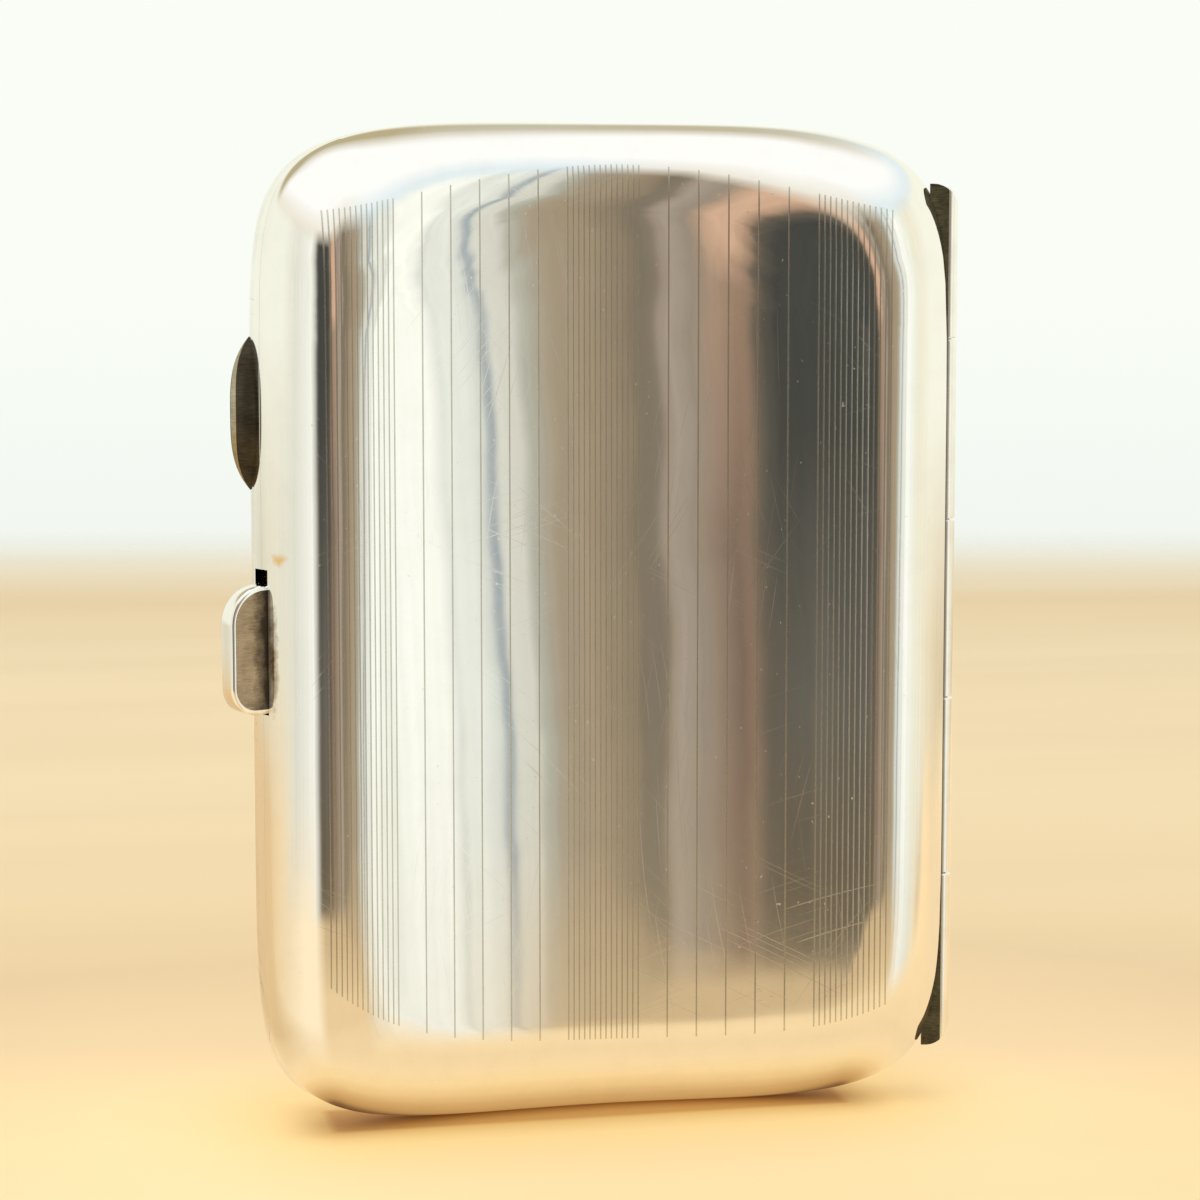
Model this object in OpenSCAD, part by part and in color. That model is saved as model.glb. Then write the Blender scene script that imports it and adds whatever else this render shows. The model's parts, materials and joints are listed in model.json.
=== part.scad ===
// Curved pocket cigarette case in polished silver, standing on its short edge.
// Two bent covers are hinged along the right side and held by a sliding catch on the left.
// The case is drawn flat, with u across, w towards the front face and z up,
// and every point is then bent about an upright axis in front of the case.
// The origin is the middle of the foot of the closed case's box.

/* [Case] */
// Width of the case, measured round the bend
case_w = 60.6; // [54:0.2:72]
// Height of the case as it stands
case_h = 84.5; // [80:0.5:100]
// Depth of each cover, from the joint line to its face
cover_d = 4.5; // [4.4:0.1:5.5]
// Thickness of the silver sheet
sheet_t = 0.6; // [0.5:0.05:0.7]
// Radius of the bend at the joint line
bend_r = 75; // [70:1:120]
// Power of the outline's curve across the case: a lower one bows the top and the foot more
across_n = 4.1; // [3.6:0.1:5]
// Power of the outline's curve up the case: a higher one keeps the sides straight for longer
up_n = 10.3; // [8:0.1:12]
// Width of the rounded edge round each face
edge_w = 5.1; // [4.6:0.1:5.6]
// Height of the upright wall next to the joint line
land_h = 1; // [0.8:0.05:1.2]

/* [Hinge] */
// Length of the hinge barrel
hinge_len = 74.4; // [68:0.2:76]
// Length of each of the three middle knuckles
knuckle_len = 15.4; // [12:0.1:17]
// Length of the top knuckle; the bottom one takes the rest of the barrel
top_len = 13.1; // [11:0.1:15]
// Radius of the knuckles
knuckle_r = 0.9; // [0.8:0.02:1]
// Radius of the hinge pin
pin_r = 0.45; // [0.35:0.01:0.5]
// Distance of the pin's axis inside the outer wall
axis_inset = 0.25; // [0.2:0.01:0.3]
// Wall of the bearer behind the groove for the knuckles
bearer_wall = 0.48; // [0.4:0.02:0.6]
// Radius that the outer corners of the hinge's two ends are filed to
hinge_round = 2; // [1.5:0.1:2.4]

/* [Catch] */
// Height of the thumb piece's lower end above the foot
thumb_z = 35.9; // [34:0.1:39]
// Length of the thumb piece
thumb_len = 10.7; // [9.5:0.1:11.2]
// Thickness of the thumb piece
thumb_t = 1.9; // [1.6:0.05:2]
// Distance that the thumb piece stands out of the wall
thumb_reach = 3.4; // [2.2:0.1:3.8]
// Distance that the catch slides up
catch_travel = 1.1; // [0.9:0.05:1.3]
// Thickness of the slide bar
bar_t = 0.5; // [0.4:0.05:0.55]
// Height of the bar's upper end above the foot
bar_top = 54.3; // [53.5:0.1:55]
// Height of the bar's lower end above the foot
bar_foot = 26; // [25:0.1:26.5]
// Length by which each hook's nose overlaps its keeper
hook_grip = 0.8; // [0.6:0.05:0.85]
// Radius of the return spring's coil, at the middle of the wire
spring_r = 0.62; // [0.58:0.01:0.66]
// Radius of the spring's wire
wire_r = 0.14; // [0.1:0.01:0.16]
// Turns of the return spring
spring_turns = 7; // [5:1:8]
// Length of the return spring
spring_len = 6.8; // [6:0.1:7.2]
// Length of the lens-shaped boss beside the catch
boss_len = 12.6; // [10:0.1:14]
// Half width of the boss at its middle
boss_r = 2.2; // [1.8:0.05:2.2]
// Height that the boss's ridge stands out of the wall
boss_lift = 1.75; // [1.2:0.05:2]
// Height of the boss's middle above the foot
boss_z = 60.5; // [58:0.1:63]

/* [Straps] */
// Width of each elastic strap
strap_w = 6; // [4:0.5:8]
// Thickness of each elastic strap
strap_t = 0.6; // [0.4:0.05:0.7]
// Distance of each strap's middle from the nearer end of the case
strap_inset = 18.5; // [16:0.5:20]
// Radius of the wire that the strap loops are bent from
loop_r = 0.3; // [0.2:0.02:0.32]

/* [Hidden] */
$fn = 48;

// Clearances: solder joints, sliding parts, running fit and lid fit
solder_gap = 0.02;
slide_gap = 0.1;
run_gap = 0.03;
lid_gap = 0.15;
end_gap = 0.1;
seat_gap = 0.12;

// Sides of the two covers: the front face looks along w, the back face against it
FRONT = 1;
BACK = -1;

half_w = case_w / 2;
half_h = case_h / 2;
inner_d = cover_d - sheet_t;
inner_edge = edge_w - sheet_t;
side_angle = half_w / bend_r * 180 / PI;

// Numbers of points round a corner, across the rounded edge and across the face
corner_steps = 10;
edge_steps = 7;
face_steps = 4;

// Outline of the case, drawn flat, with half sizes a and b: how wide it is at a height from the
// middle, and how high it is at a place across
function ring_u(z, a, b) = a * pow(1 - pow(min(1, abs(z) / b), up_n), 1 / across_n);
function ring_z(u, a, b) = b * pow(1 - pow(min(1, abs(u) / a), across_n), 1 / up_n);
// Share of the half sizes at the middle of a corner, where both powers add the same
mid_u = pow(0.5, 1 / across_n);
mid_z = pow(0.5, 1 / up_n);
function corner(a, b) =
    [for (i = [1:2 * corner_steps - 1]) let (s = 90 * i / corner_steps)
        i <= corner_steps ? let (z = b * mid_z * sin(s)) [ring_u(z, a, b), z]
            : let (u = a * mid_u * sin(s)) [u, ring_z(u, a, b)]];
function reversed(list) = [for (i = [len(list) - 1:-1:0]) list[i]];
function ring(a, b) =
    let (c = corner(a, b), back = reversed(c))
    concat([[a, 0]], c, [[0, b]], [for (p = back) [-p.x, p.y]],
        [[-a, 0]], [for (p = c) [-p.x, -p.y]], [[0, -b]], [for (p = back) [p.x, -p.y]]);
function inset_ring(inset) = ring(half_w - inset, half_h - inset);

// Bent place of a point that is drawn flat, before the origin is set
function raw_x(u, w) = (bend_r - w) * sin(u / bend_r * 180 / PI);
function raw_y(u, w) = (bend_r - w) * cos(u / bend_r * 180 / PI) - bend_r;

// Rounded edge: how far the wall stands in at a depth, and how deep it is at an inset
function outer_inset(turn) = edge_w * (1 - cos(turn));
function outer_depth(turn) = land_h + (cover_d - land_h) * sin(turn);
function inner_inset(turn) = sheet_t + inner_edge * (1 - cos(turn));
function inner_depth(turn) = land_h + (inner_d - land_h) * sin(turn);
function skin_depth(x) =
    land_h + (inner_d - land_h) * sqrt(1 - pow(1 - (x - sheet_t) / inner_edge, 2));
function skin_inset(w) =
    sheet_t + inner_edge * (1 - sqrt(1 - pow((w - land_h) / (inner_d - land_h), 2)));

// Step of the rounding round the thumb piece
crown_step = 0.22;

// Extent of the closed case, which sets the origin
wall_x = raw_x(half_w, 0);
wall_y = raw_y(half_w, 0);
left_x = -wall_x - thumb_reach * cos(side_angle) - (thumb_t / 2 - 2 * crown_step) * sin(side_angle);
right_x = wall_x - axis_inset * cos(side_angle) + knuckle_r;
front_y = min([for (i = [0:60]) raw_y(half_w - outer_inset(i * 1.5), outer_depth(i * 1.5))]);
back_y = cover_d;
mid_x = (left_x + right_x) / 2;
mid_y = (front_y + back_y) / 2;
function bent(u, w, z) = [raw_x(u, w) - mid_x, raw_y(u, w) - mid_y, z];
function bent_ring(flat, side, w) = [for (p = flat) bent(p.x, side * w, half_h + p.y)];

// Frames for parts that are straight: x runs along u and y runs against w
module at_u(u, z = 0) {
    translate(bent(u, 0, z)) rotate([0, 0, -u / bend_r * 180 / PI]) children();
}
module at_left(z = 0) {
    at_u(-half_w, z) children();
}
module at_hinge(z = 0) {
    at_u(half_w, z) translate([-axis_inset, 0, 0]) children();
}

// Closed skin through a list of rings, with a point at each end
module ring_loft(first, rings, last, flip) {
    m = len(rings[0]);
    n = len(rings);
    points = concat([first], [for (r = rings) for (p = r) p], [last]);
    ends = [for (i = [0:m - 1]) let (j = (i + 1) % m) each
        [[0, 1 + j, 1 + i], [1 + n * m, 1 + (n - 1) * m + i, 1 + (n - 1) * m + j]]];
    walls = [for (k = [0:n - 2]) for (i = [0:m - 1])
        let (j = (i + 1) % m, p = 1 + k * m, q = p + m) each
        [[p + i, p + j, q + j], [p + i, q + j, q + i]]];
    faces = concat(ends, walls);
    polyhedron(points, flip ? [for (f = faces) reversed(f)] : faces, convexity = 6);
}

// Closed skin along an open path of sections, with a flat face at each end
module section_loft(sections, flip = false) {
    m = len(sections[0]);
    n = len(sections);
    points = [for (s = sections) for (p = s) p];
    walls = [for (k = [0:n - 2]) for (i = [0:m - 1])
        let (j = (i + 1) % m, p = k * m, q = p + m) each
        [[p + i, p + j, q + j], [p + i, q + j, q + i]]];
    caps = [[for (i = [m - 1:-1:0]) i], [for (i = [0:m - 1]) (n - 1) * m + i]];
    faces = concat(walls, caps);
    polyhedron(points, flip ? [for (f = faces) reversed(f)] : faces, convexity = 6);
}

// Rings of the face, growing from its middle, and of the rounded edge, ending at the wall
function face_rings(side, w) =
    [for (i = [1:face_steps]) let (s = i / (face_steps + 1))
        bent_ring(ring(s * (half_w - edge_w), s * (half_h - edge_w)), side, w)];
function outer_rings(side) =
    concat(face_rings(side, cover_d),
        [for (i = [0:edge_steps]) let (turn = 90 * (1 - i / edge_steps))
            bent_ring(inset_ring(outer_inset(turn)), side, outer_depth(turn))],
        [bent_ring(inset_ring(0), side, 0)]);
function inner_rings(side) =
    concat([bent_ring(inset_ring(sheet_t), side, 0)],
        [for (i = [0:edge_steps]) let (turn = 90 * i / edge_steps)
            bent_ring(inset_ring(inner_inset(turn)), side, inner_depth(turn))],
        reversed(face_rings(side, inner_d)));

// One cover, drawn from sheet: a bent tray with a rounded edge and an upright rim
module shell(side) {
    ring_loft(bent(0, side * cover_d, half_h), concat(outer_rings(side), inner_rings(side)),
        bent(0, side * inner_d, half_h), side == BACK);
}

// Hinge sizes along the barrel
hinge_z = (case_h - hinge_len) / 2;
bottom_len = hinge_len - 3 * knuckle_len - top_len;
knuckle_z = [hinge_z, for (k = [0:3]) hinge_z + bottom_len + k * knuckle_len];
knuckle_l = [bottom_len, knuckle_len, knuckle_len, knuckle_len, top_len];
bearer_r = knuckle_r + bearer_wall;
// Clearance of a bearer round the knuckles of the other cover
relief_gap = 0.1;
joint_gap = 0.05;
over = 2;

// Filed shape of the hinge's two ends, seen from the front
module filed() {
    reach = knuckle_r - hinge_round;
    intersection() {
        children();
        at_hinge(hinge_z) rotate([90, 0, 0])
            linear_extrude(4 * over, center = true) hull() {
                translate([-4 * over, 0]) square([1, hinge_len]);
                for (z = [hinge_round, hinge_len - hinge_round])
                    translate([reach, z]) circle(r = hinge_round);
            }
    }
}

// Recess in a cover's wall that the bearer and the knuckles lie in
module hinge_recess() {
    at_hinge(hinge_z - end_gap)
        translate([-bearer_r - solder_gap, -bearer_r - solder_gap, 0])
        cube([bearer_r + over + axis_inset, 2 * (bearer_r + solder_gap), hinge_len + 2 * end_gap]);
}

// Slot through both rims for the thumb piece and its travel
slot_w = thumb_t + 2 * slide_gap;
slot_z = thumb_z - slide_gap;
slot_len = thumb_len + catch_travel + 2 * slide_gap;
module thumb_slot(depth) {
    at_left(slot_z) translate([-over, -slot_w / 2, 0]) cube([over + depth, slot_w, slot_len]);
}

module front_cover() {
    color("gainsboro") difference() {
        shell(FRONT);
        hinge_recess();
        thumb_slot(over);
    }
}

module back_cover() {
    color("silver") difference() {
        shell(BACK);
        hinge_recess();
        thumb_slot(over);
    }
}

// Inner rim, soldered inside the back cover and standing up inside the front one
bezel_t = 0.4;
bezel_h = 0.9;
bezel_end = 6;
bezel_lead = 0.05;
bezel_x = sheet_t + lid_gap + bezel_t;
function bezel_section(i) =
    let (low = sheet_t + solder_gap, high = sheet_t + lid_gap, in = bezel_x,
        steps = [[low, -land_h], [low, -lid_gap], [high, 0], [high + bezel_lead, bezel_h],
            [in, bezel_h], [in, -land_h]])
    [for (s = steps) let (p = inset_ring(s[0])[i]) bent(p.x, s[1], half_h + p.y)];
module rim_bezel() {
    flat = inset_ring(sheet_t);
    path = [for (i = [0:len(flat) - 1]) if (flat[i].x <= half_w - bezel_end) i];
    color("goldenrod") difference() {
        section_loft([for (i = path) bezel_section(i)]);
        at_left(slot_z - lid_gap) translate([-over, -bezel_h - over, 0])
            cube([over + bezel_x + over, 2 * over + bezel_h + land_h, slot_len + 2 * lid_gap]);
    }
}

// Square bearer with a groove for the barrel
module bearer(side, others) {
    y0 = side == FRONT ? -bearer_r : joint_gap;
    filed() at_hinge(hinge_z) difference() {
        translate([-bearer_r, y0, 0])
            cube([bearer_r + axis_inset, bearer_r - joint_gap, hinge_len]);
        translate([0, 0, -over]) cylinder(r = knuckle_r + solder_gap, h = hinge_len + 2 * over);
        for (k = others)
            translate([0, 0, knuckle_z[k] - hinge_z - end_gap])
                cylinder(r = knuckle_r + relief_gap, h = knuckle_l[k] + 2 * end_gap);
    }
}
back_set = [0, 2, 4];
front_set = [1, 3];
module front_bearer() {
    color("gray") bearer(FRONT, back_set);
}
module back_bearer() {
    color("dimgray") bearer(BACK, front_set);
}

// One knuckle of the barrel, a short length of tube with its outer edges broken
knuckle_break = 0.12;
module knuckle(k) {
    l = knuckle_l[k] - end_gap;
    r = knuckle_r;
    b = knuckle_break;
    bore = pin_r + run_gap;
    at_hinge(knuckle_z[k] + end_gap / 2) rotate_extrude()
        polygon([[bore, 0], [r - b, 0], [r, b], [r, l - b], [r - b, l], [bore, l]]);
}
module knuckle_bottom() {
    color("silver") filed() knuckle(0);
}
module knuckle_lower() {
    color("gainsboro") knuckle(1);
}
module knuckle_middle() {
    color("silver") knuckle(2);
}
module knuckle_upper() {
    color("gainsboro") knuckle(3);
}
module knuckle_top() {
    color("silver") filed() knuckle(4);
}

// Pin through the whole barrel, filed off with its ends
module hinge_pin() {
    color("lightslategray") filed() at_hinge(hinge_z) cylinder(r = pin_r, h = hinge_len);
}

// Lens-shaped boss on the back cover's left wall, above the catch
boss_steps = 18;
boss_sides = 10;
boss_tip = 0.06;
boss_mid = boss_r + 0.3 - land_h;
edge_arc = PI / 2 * norm([edge_w, cover_d - land_h]) / sqrt(2);
function edge_u(z, inset) = ring_u(z - half_h, half_w - inset, half_h - inset);
function wall_point(z, v, lift) =
    let (turn = 90 * max(0, v) / edge_arc, depth = v < 0 ? land_h + v : outer_depth(turn),
        nu = cos(turn) / edge_w, nw = sin(turn) / (cover_d - land_h), n = norm([nu, nw]))
    bent(-edge_u(z, outer_inset(turn)) - lift * nu / n, BACK * (depth + lift * nw / n), z);
// The side towards the front is straight up to the ridge, the other side falls in a curve
boss_ridge = -0.4;
boss_fall = 1.3;
function boss_rise(s) =
    s < boss_ridge ? (1 + s) / (1 + boss_ridge)
        : 1 - pow((s - boss_ridge) / (1 - boss_ridge), boss_fall);
function boss_section(i) =
    let (t = 2 * i / boss_steps - 1, z = boss_z + t * boss_len / 2,
        r = boss_r * (1 - t * t) + boss_tip, lift = boss_lift * (1 - t * t), base = solder_gap,
        across = [for (k = [0:boss_sides]) 2 * k / boss_sides - 1])
    concat([for (s = across) wall_point(z, boss_mid + s * r, base)],
        [for (s = reversed(across))
            wall_point(z, boss_mid + s * r, base + boss_tip + lift * boss_rise(s))]);
module thumb_boss() {
    color("darkgray") section_loft([for (i = [0:boss_steps]) boss_section(i)], true);
}

// Slide bar: a strip inside the left wall with a tab for the thumb piece and two hooks
bar_x = bezel_x + 2 * lid_gap - 0.05;
bar_low = 2.2;
bar_high = slide_gap;
tab_len = thumb_len - 3;
tab_z = thumb_z + 1.5;
tab_high = 0.8;
hook_t = 1.3;
nose_low = 1.8;
nose_high = 2.3;
keeper_gap = 0.15;
spring_x = bar_x + bar_t + 0.2;
spring_y = 1.3;
spigot_r = 0.36;
spigot_l = 1.2;
spring_block = 1.3;
hook_z = [bar_foot + hook_grip + 2 * keeper_gap, bar_top - hook_t];
module hook(z) {
    tip = z - hook_grip - keeper_gap;
    translate([bar_x + bar_t, 0, 0]) rotate([0, -90, 0]) linear_extrude(bar_t)
        polygon([[z, bar_low / 2], [z, -nose_low], [tip, -nose_low], [tip, -nose_low - 0.15],
            [z, -nose_high], [z + hook_t, -nose_high], [z + hook_t, bar_low / 2]]);
}
module slide_bar() {
    color("darkkhaki") at_left() difference() {
        union() {
            translate([bar_x, bar_high, bar_foot]) cube([bar_t, bar_low - bar_high, bar_top - bar_foot]);
            translate([bar_x, -tab_high, tab_z]) cube([bar_t, tab_high + bar_low / 2, tab_len]);
            for (z = hook_z) hook(z);
            translate([bar_x, spring_y - spring_r, bar_top - spring_block])
                cube([spring_x + spring_r - bar_x, 2 * spring_r, spring_block]);
            translate([spring_x, spring_y, bar_top - 0.1]) cylinder(r = spigot_r, h = spigot_l);
        }
        for (z = rivet_z) rivet_hole(z);
    }
}

// Thumb piece: a crowned plate with a straight back and a shank through the slot
rivet_r = 0.35;
rivet_z = [tab_z + 1.6, tab_z + tab_len - 1.6];
rivet_sink = 0.7;
module rivet_hole(z) {
    translate([bar_x - rivet_sink - solder_gap, 0, z]) rotate([0, 90, 0])
        cylinder(r = rivet_r + solder_gap, h = rivet_sink + bar_t + over);
}
module thumb_outline(back) {
    reach = thumb_reach - back;
    low = back;
    high = thumb_len - back;
    top_r = reach * 0.97;
    foot_r = reach * 0.72;
    hull() {
        translate([-0.02, low]) square([0.02, high - low]);
        translate([top_r - reach, high - top_r]) circle(r = top_r, $fn = 64);
        translate([foot_r - reach, low + foot_r]) circle(r = foot_r, $fn = 64);
    }
}
module thumb_layer(back, t) {
    rotate([90, 0, 0]) linear_extrude(t, center = true) intersection() {
        thumb_outline(back);
        translate([-thumb_reach, 0]) square([thumb_reach, thumb_len]);
    }
}
module thumb_piece() {
    shank_t = thumb_t - 0.5;
    color("gainsboro") at_left() difference() {
        union() {
            translate([0, 0, thumb_z]) {
                thumb_layer(0, thumb_t - 4 * crown_step);
                thumb_layer(crown_step / 2, thumb_t - 2 * crown_step);
                thumb_layer(crown_step, thumb_t);
            }
            translate([-0.02, -thumb_t / 2, thumb_z + crown_step])
                cube([sheet_t + 0.02, thumb_t, thumb_len - 2 * crown_step]);
            translate([0, -shank_t / 2, tab_z])
                cube([bar_x - solder_gap, shank_t, tab_len]);
        }
        for (z = rivet_z) rivet_hole(z);
    }
}
module thumb_rivets() {
    head_r = 0.55;
    head_t = 0.2;
    color("silver") at_left() for (z = rivet_z)
        translate([bar_x - rivet_sink, 0, z]) rotate([0, 90, 0]) {
            cylinder(r = rivet_r, h = rivet_sink + bar_t + solder_gap);
            translate([0, 0, rivet_sink + bar_t + solder_gap]) cylinder(r = head_r, h = head_t);
        }
}

// Guides that hold the bar to the back cover, each a bracket with a lip over the bar
guide_t = 0.35;
guide_len = 3;
guide_x = bar_x + bar_t + slide_gap;
guide_z = [bar_foot + 4.6, bar_top - 5.9];
module guide(z) {
    lip_x = bar_x - slide_gap / 2;
    out_x = guide_x + guide_t;
    at_left(z) linear_extrude(guide_len)
        polygon([[lip_x, -guide_t], [out_x, -guide_t], [out_x, skin_depth(out_x) - seat_gap],
            [guide_x, skin_depth(guide_x) - seat_gap], [guide_x, 0], [lip_x, 0]]);
}
module lower_guide() {
    color("burlywood") guide(guide_z[0]);
}
module upper_guide() {
    color("burlywood") guide(guide_z[1]);
}

// Return spring above the bar, wound as one wire
spring_z = bar_top + 0.05;
ring_per_turn = 8;
wire_sides = 6;
function coil_point(i) =
    let (t = i / (ring_per_turn * spring_turns), rise = spring_len - 2 * wire_r)
    [spring_r * cos(i * 360 / ring_per_turn), spring_r * sin(i * 360 / ring_per_turn),
        wire_r + t * rise];
function coil_section(i) =
    let (c = coil_point(i), a = i * 360 / ring_per_turn)
    [for (k = [0:wire_sides - 1]) let (b = k * 360 / wire_sides)
        c + wire_r * [cos(b) * cos(a), cos(b) * sin(a), sin(b)]];
coil_rings = ring_per_turn * spring_turns;
coil_gap = min([for (i = [0:coil_rings - ring_per_turn])
    min([for (j = [i + ring_per_turn / 2:min(coil_rings, i + 2 * ring_per_turn)])
        norm(coil_point(i) - coil_point(j)) - 2 * wire_r])]);
echo(least_gap_between_spring_turns = coil_gap);
module catch_spring() {
    color("slategray") at_left(spring_z) translate([spring_x, spring_y, 0])
        section_loft([for (i = [0:coil_rings]) coil_section(i)]);
}

// Stop for the spring, a small block on the back cover's inner skin
stop_len = 1.4;
stop_z = spring_z + spring_len + 0.05;
module spring_stop() {
    x0 = bar_x;
    x1 = spring_x + spring_r + wire_r;
    color("burlywood") at_left(stop_z) {
        linear_extrude(stop_len)
            polygon([[x0, spring_y - spring_r], [x1, spring_y - spring_r],
                [x1, skin_depth(x1) - seat_gap], [x0, skin_depth(x0) - seat_gap]]);
        translate([spring_x, spring_y, -spigot_l]) cylinder(r = spigot_r, h = spigot_l + 0.1);
    }
}

// Keepers on the front cover's wall, each a shelf that a hook's nose lies over
keeper_low = bezel_h + 2 * slide_gap;
keeper_high = nose_low - slide_gap;
keeper_len = 1.6;
module keeper(z) {
    top = z - keeper_gap;
    low = skin_inset(keeper_low) + solder_gap;
    high = skin_inset(keeper_high) + solder_gap;
    out_x = bar_x + bar_t + 0.2;
    at_left(top - keeper_len) linear_extrude(keeper_len)
        polygon([[low, -keeper_low], [high, -keeper_high], [out_x, -keeper_high], [out_x, -keeper_low]]);
}
module lower_keeper() {
    color("burlywood") keeper(hook_z[0]);
}
module upper_keeper() {
    color("burlywood") keeper(hook_z[1]);
}

// Elastic straps across the front cover's inner face, each end sewn round a loop
loop_in = 3.4;
loop_w = 2.3;
loop_u = half_w - loop_in;
loop_over = 0.35;
sewn_t = 0.4;
strap_steps = 20;
strap_rest = inner_d - strap_t / 2 - 0.2;
strap_bend = 8;
function ease(t) = let (s = max(0, min(1, t))) s * s * (3 - 2 * s);
function strap_depth(u) =
    loop_w + (strap_rest - loop_w) * ease((loop_u - abs(u)) / strap_bend);
function strap_section(u, z) =
    let (w = strap_depth(u), t = strap_t / 2, h = strap_w / 2)
    [bent(u, w - t, z - h), bent(u, w + t, z - h), bent(u, w + t, z + h), bent(u, w - t, z + h)];
module strap(z) {
    inner = loop_r + run_gap;
    end_u = loop_u - inner - sewn_t / 2;
    section_loft([for (i = [0:strap_steps]) strap_section(end_u * (2 * i / strap_steps - 1), z)]);
    for (side = [-1, 1])
        translate(bent(side * loop_u, loop_w, z - strap_w / 2)) difference() {
            cylinder(r = inner + sewn_t, h = strap_w);
            translate([0, 0, -over]) cylinder(r = inner, h = strap_w + 2 * over);
        }
}
module upper_strap() {
    color("tan") strap(case_h - strap_inset);
}
module lower_strap() {
    color("tan") strap(strap_inset);
}

// Loops for one strap: an upright wire and two legs to the wall on each side
module strap_loops(z) {
    height = strap_w + 2 * loop_over;
    seat = skin_inset(loop_w + loop_r) + seat_gap;
    for (side = [-1, 1])
        at_u(side * loop_u, z - height / 2) translate([0, -loop_w, 0]) {
            cylinder(r = loop_r, h = height);
            for (end = [0, height]) let (leg = edge_u(z - height / 2 + end, seat) - loop_u)
                translate([0, 0, end]) {
                    sphere(r = loop_r);
                    rotate([0, side * 90, 0]) cylinder(r = loop_r, h = leg);
                }
        }
}
module upper_strap_loops() {
    color("goldenrod") strap_loops(case_h - strap_inset);
}
module lower_strap_loops() {
    color("goldenrod") strap_loops(strap_inset);
}

front_cover();
back_cover();
rim_bezel();
front_bearer();
back_bearer();
knuckle_top();
knuckle_upper();
knuckle_middle();
knuckle_lower();
knuckle_bottom();
hinge_pin();
thumb_boss();
thumb_piece();
thumb_rivets();
slide_bar();
upper_guide();
lower_guide();
catch_spring();
spring_stop();
upper_keeper();
lower_keeper();
upper_strap();
lower_strap();
upper_strap_loops();
lower_strap_loops();
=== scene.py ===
"""Looks of the curved pocket cigarette case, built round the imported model.

Sizes are in millimetres. A point is given flat, as u across, w towards the front face and
z up, and is then bent about the upright axis in front of the case.
"""
import json
import math

import bmesh
import bpy
import numpy as np
from mathutils import Matrix, Vector


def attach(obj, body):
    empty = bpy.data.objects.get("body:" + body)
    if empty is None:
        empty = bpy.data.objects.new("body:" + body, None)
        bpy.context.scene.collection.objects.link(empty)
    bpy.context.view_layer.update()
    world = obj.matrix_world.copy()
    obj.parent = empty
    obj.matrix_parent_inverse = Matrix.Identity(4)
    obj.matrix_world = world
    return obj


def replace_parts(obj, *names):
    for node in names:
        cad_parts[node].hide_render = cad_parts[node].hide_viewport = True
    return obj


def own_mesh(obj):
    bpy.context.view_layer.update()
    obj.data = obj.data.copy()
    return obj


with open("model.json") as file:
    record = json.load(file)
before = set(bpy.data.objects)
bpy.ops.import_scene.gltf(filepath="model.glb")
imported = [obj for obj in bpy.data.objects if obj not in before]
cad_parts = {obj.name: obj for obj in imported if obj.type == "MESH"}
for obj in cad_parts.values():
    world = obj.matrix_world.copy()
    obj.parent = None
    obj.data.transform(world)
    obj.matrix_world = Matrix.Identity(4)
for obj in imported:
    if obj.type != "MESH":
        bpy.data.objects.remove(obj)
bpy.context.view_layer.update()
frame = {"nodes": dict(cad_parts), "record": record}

MM = 0.001

# Sizes of the case, the same as in the model
HALF_W, HALF_H = 30.3, 42.25
ACROSS_N, UP_N = 4.1, 10.3
EDGE, LAND, DEPTH = 5.1, 1.0, 4.5
SHEET = 0.6
INNER_DEPTH, INNER_EDGE = DEPTH - SHEET, EDGE - SHEET
BEND = 75.0
THUMB_Z, THUMB_LEN, THUMB_T, THUMB_REACH = 35.9, 10.7, 1.9, 3.4
SLOT_LOW, SLOT_HIGH = 35.8, 47.8
RECESS_W, RECESS_HALF = 1.4, 35.5
BOSS_LEN, BOSS_R, BOSS_Z, BOSS_LIFT = 12.6, 2.2, 60.5, 1.75
BAR_X, BAR_T = 1.4, 0.5
SPRING_R, WIRE_R, TURNS, SPRING_Z, SPRING_LEN = 0.62, 0.14, 7, 54.35, 6.8
STRAP_W, STRAP_T, STRAP_INSET, LOOP_R = 6.0, 0.6, 18.5, 0.3
LOOP_IN, LOOP_W = 3.4, 2.3

# Polish has softened the face further in than the bent edge, so its directions turn over a
# wider edge than the shape does, wider still on the left and narrower on the right
LOOK_EDGE, LOOK_RISE = 8.0, 0.75
LEFT_EDGE_MORE, RIGHT_EDGE_LESS, RIGHT_RISE_MORE = 1.0, 1.3, 0.15
SIDE_FROM, SIDE_OVER = 14, 9
# The wall leans a little to the front beside the parting line
WALL_TURN, WALL_OVER = 0.2, 0.6
# The upper corners of the face look up a little
CORNER_LIFT, CORNER_U, CORNER_MOST, CORNER_FROM, CORNER_OVER = 0.21, 21.0, 1.1, 26.0, 8.0
HALVINGS = 40

# The model's stand mark lies a little behind the parting surface
STAND_BACK = 0.5
stand = frame["record"]["mounts"][0]["pos_m"]
SHIFT_X, SHIFT_Y = stand[0] / MM, stand[1] / MM - STAND_BACK
SIDE_ANGLE = HALF_W / BEND


def bent(u, w, z):
    """Bent places of flat points, in millimetres, as an array of rows."""
    u, w, z = np.broadcast_arrays(u, w, z)
    a = u / BEND
    return np.stack([(BEND - w) * np.sin(a) + SHIFT_X,
                     (BEND - w) * np.cos(a) - BEND + SHIFT_Y, z], axis=-1)


def bent_direction(u, w, nu, nw, nz):
    """Unit directions in space of normals given in the flat drawing."""
    a = u / BEND
    nu = nu * BEND / (BEND - w)
    d = np.stack([nu * np.cos(a) - nw * np.sin(a), -nu * np.sin(a) - nw * np.cos(a), nz], axis=-1)
    return d / np.linalg.norm(d, axis=-1, keepdims=True)


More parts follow.
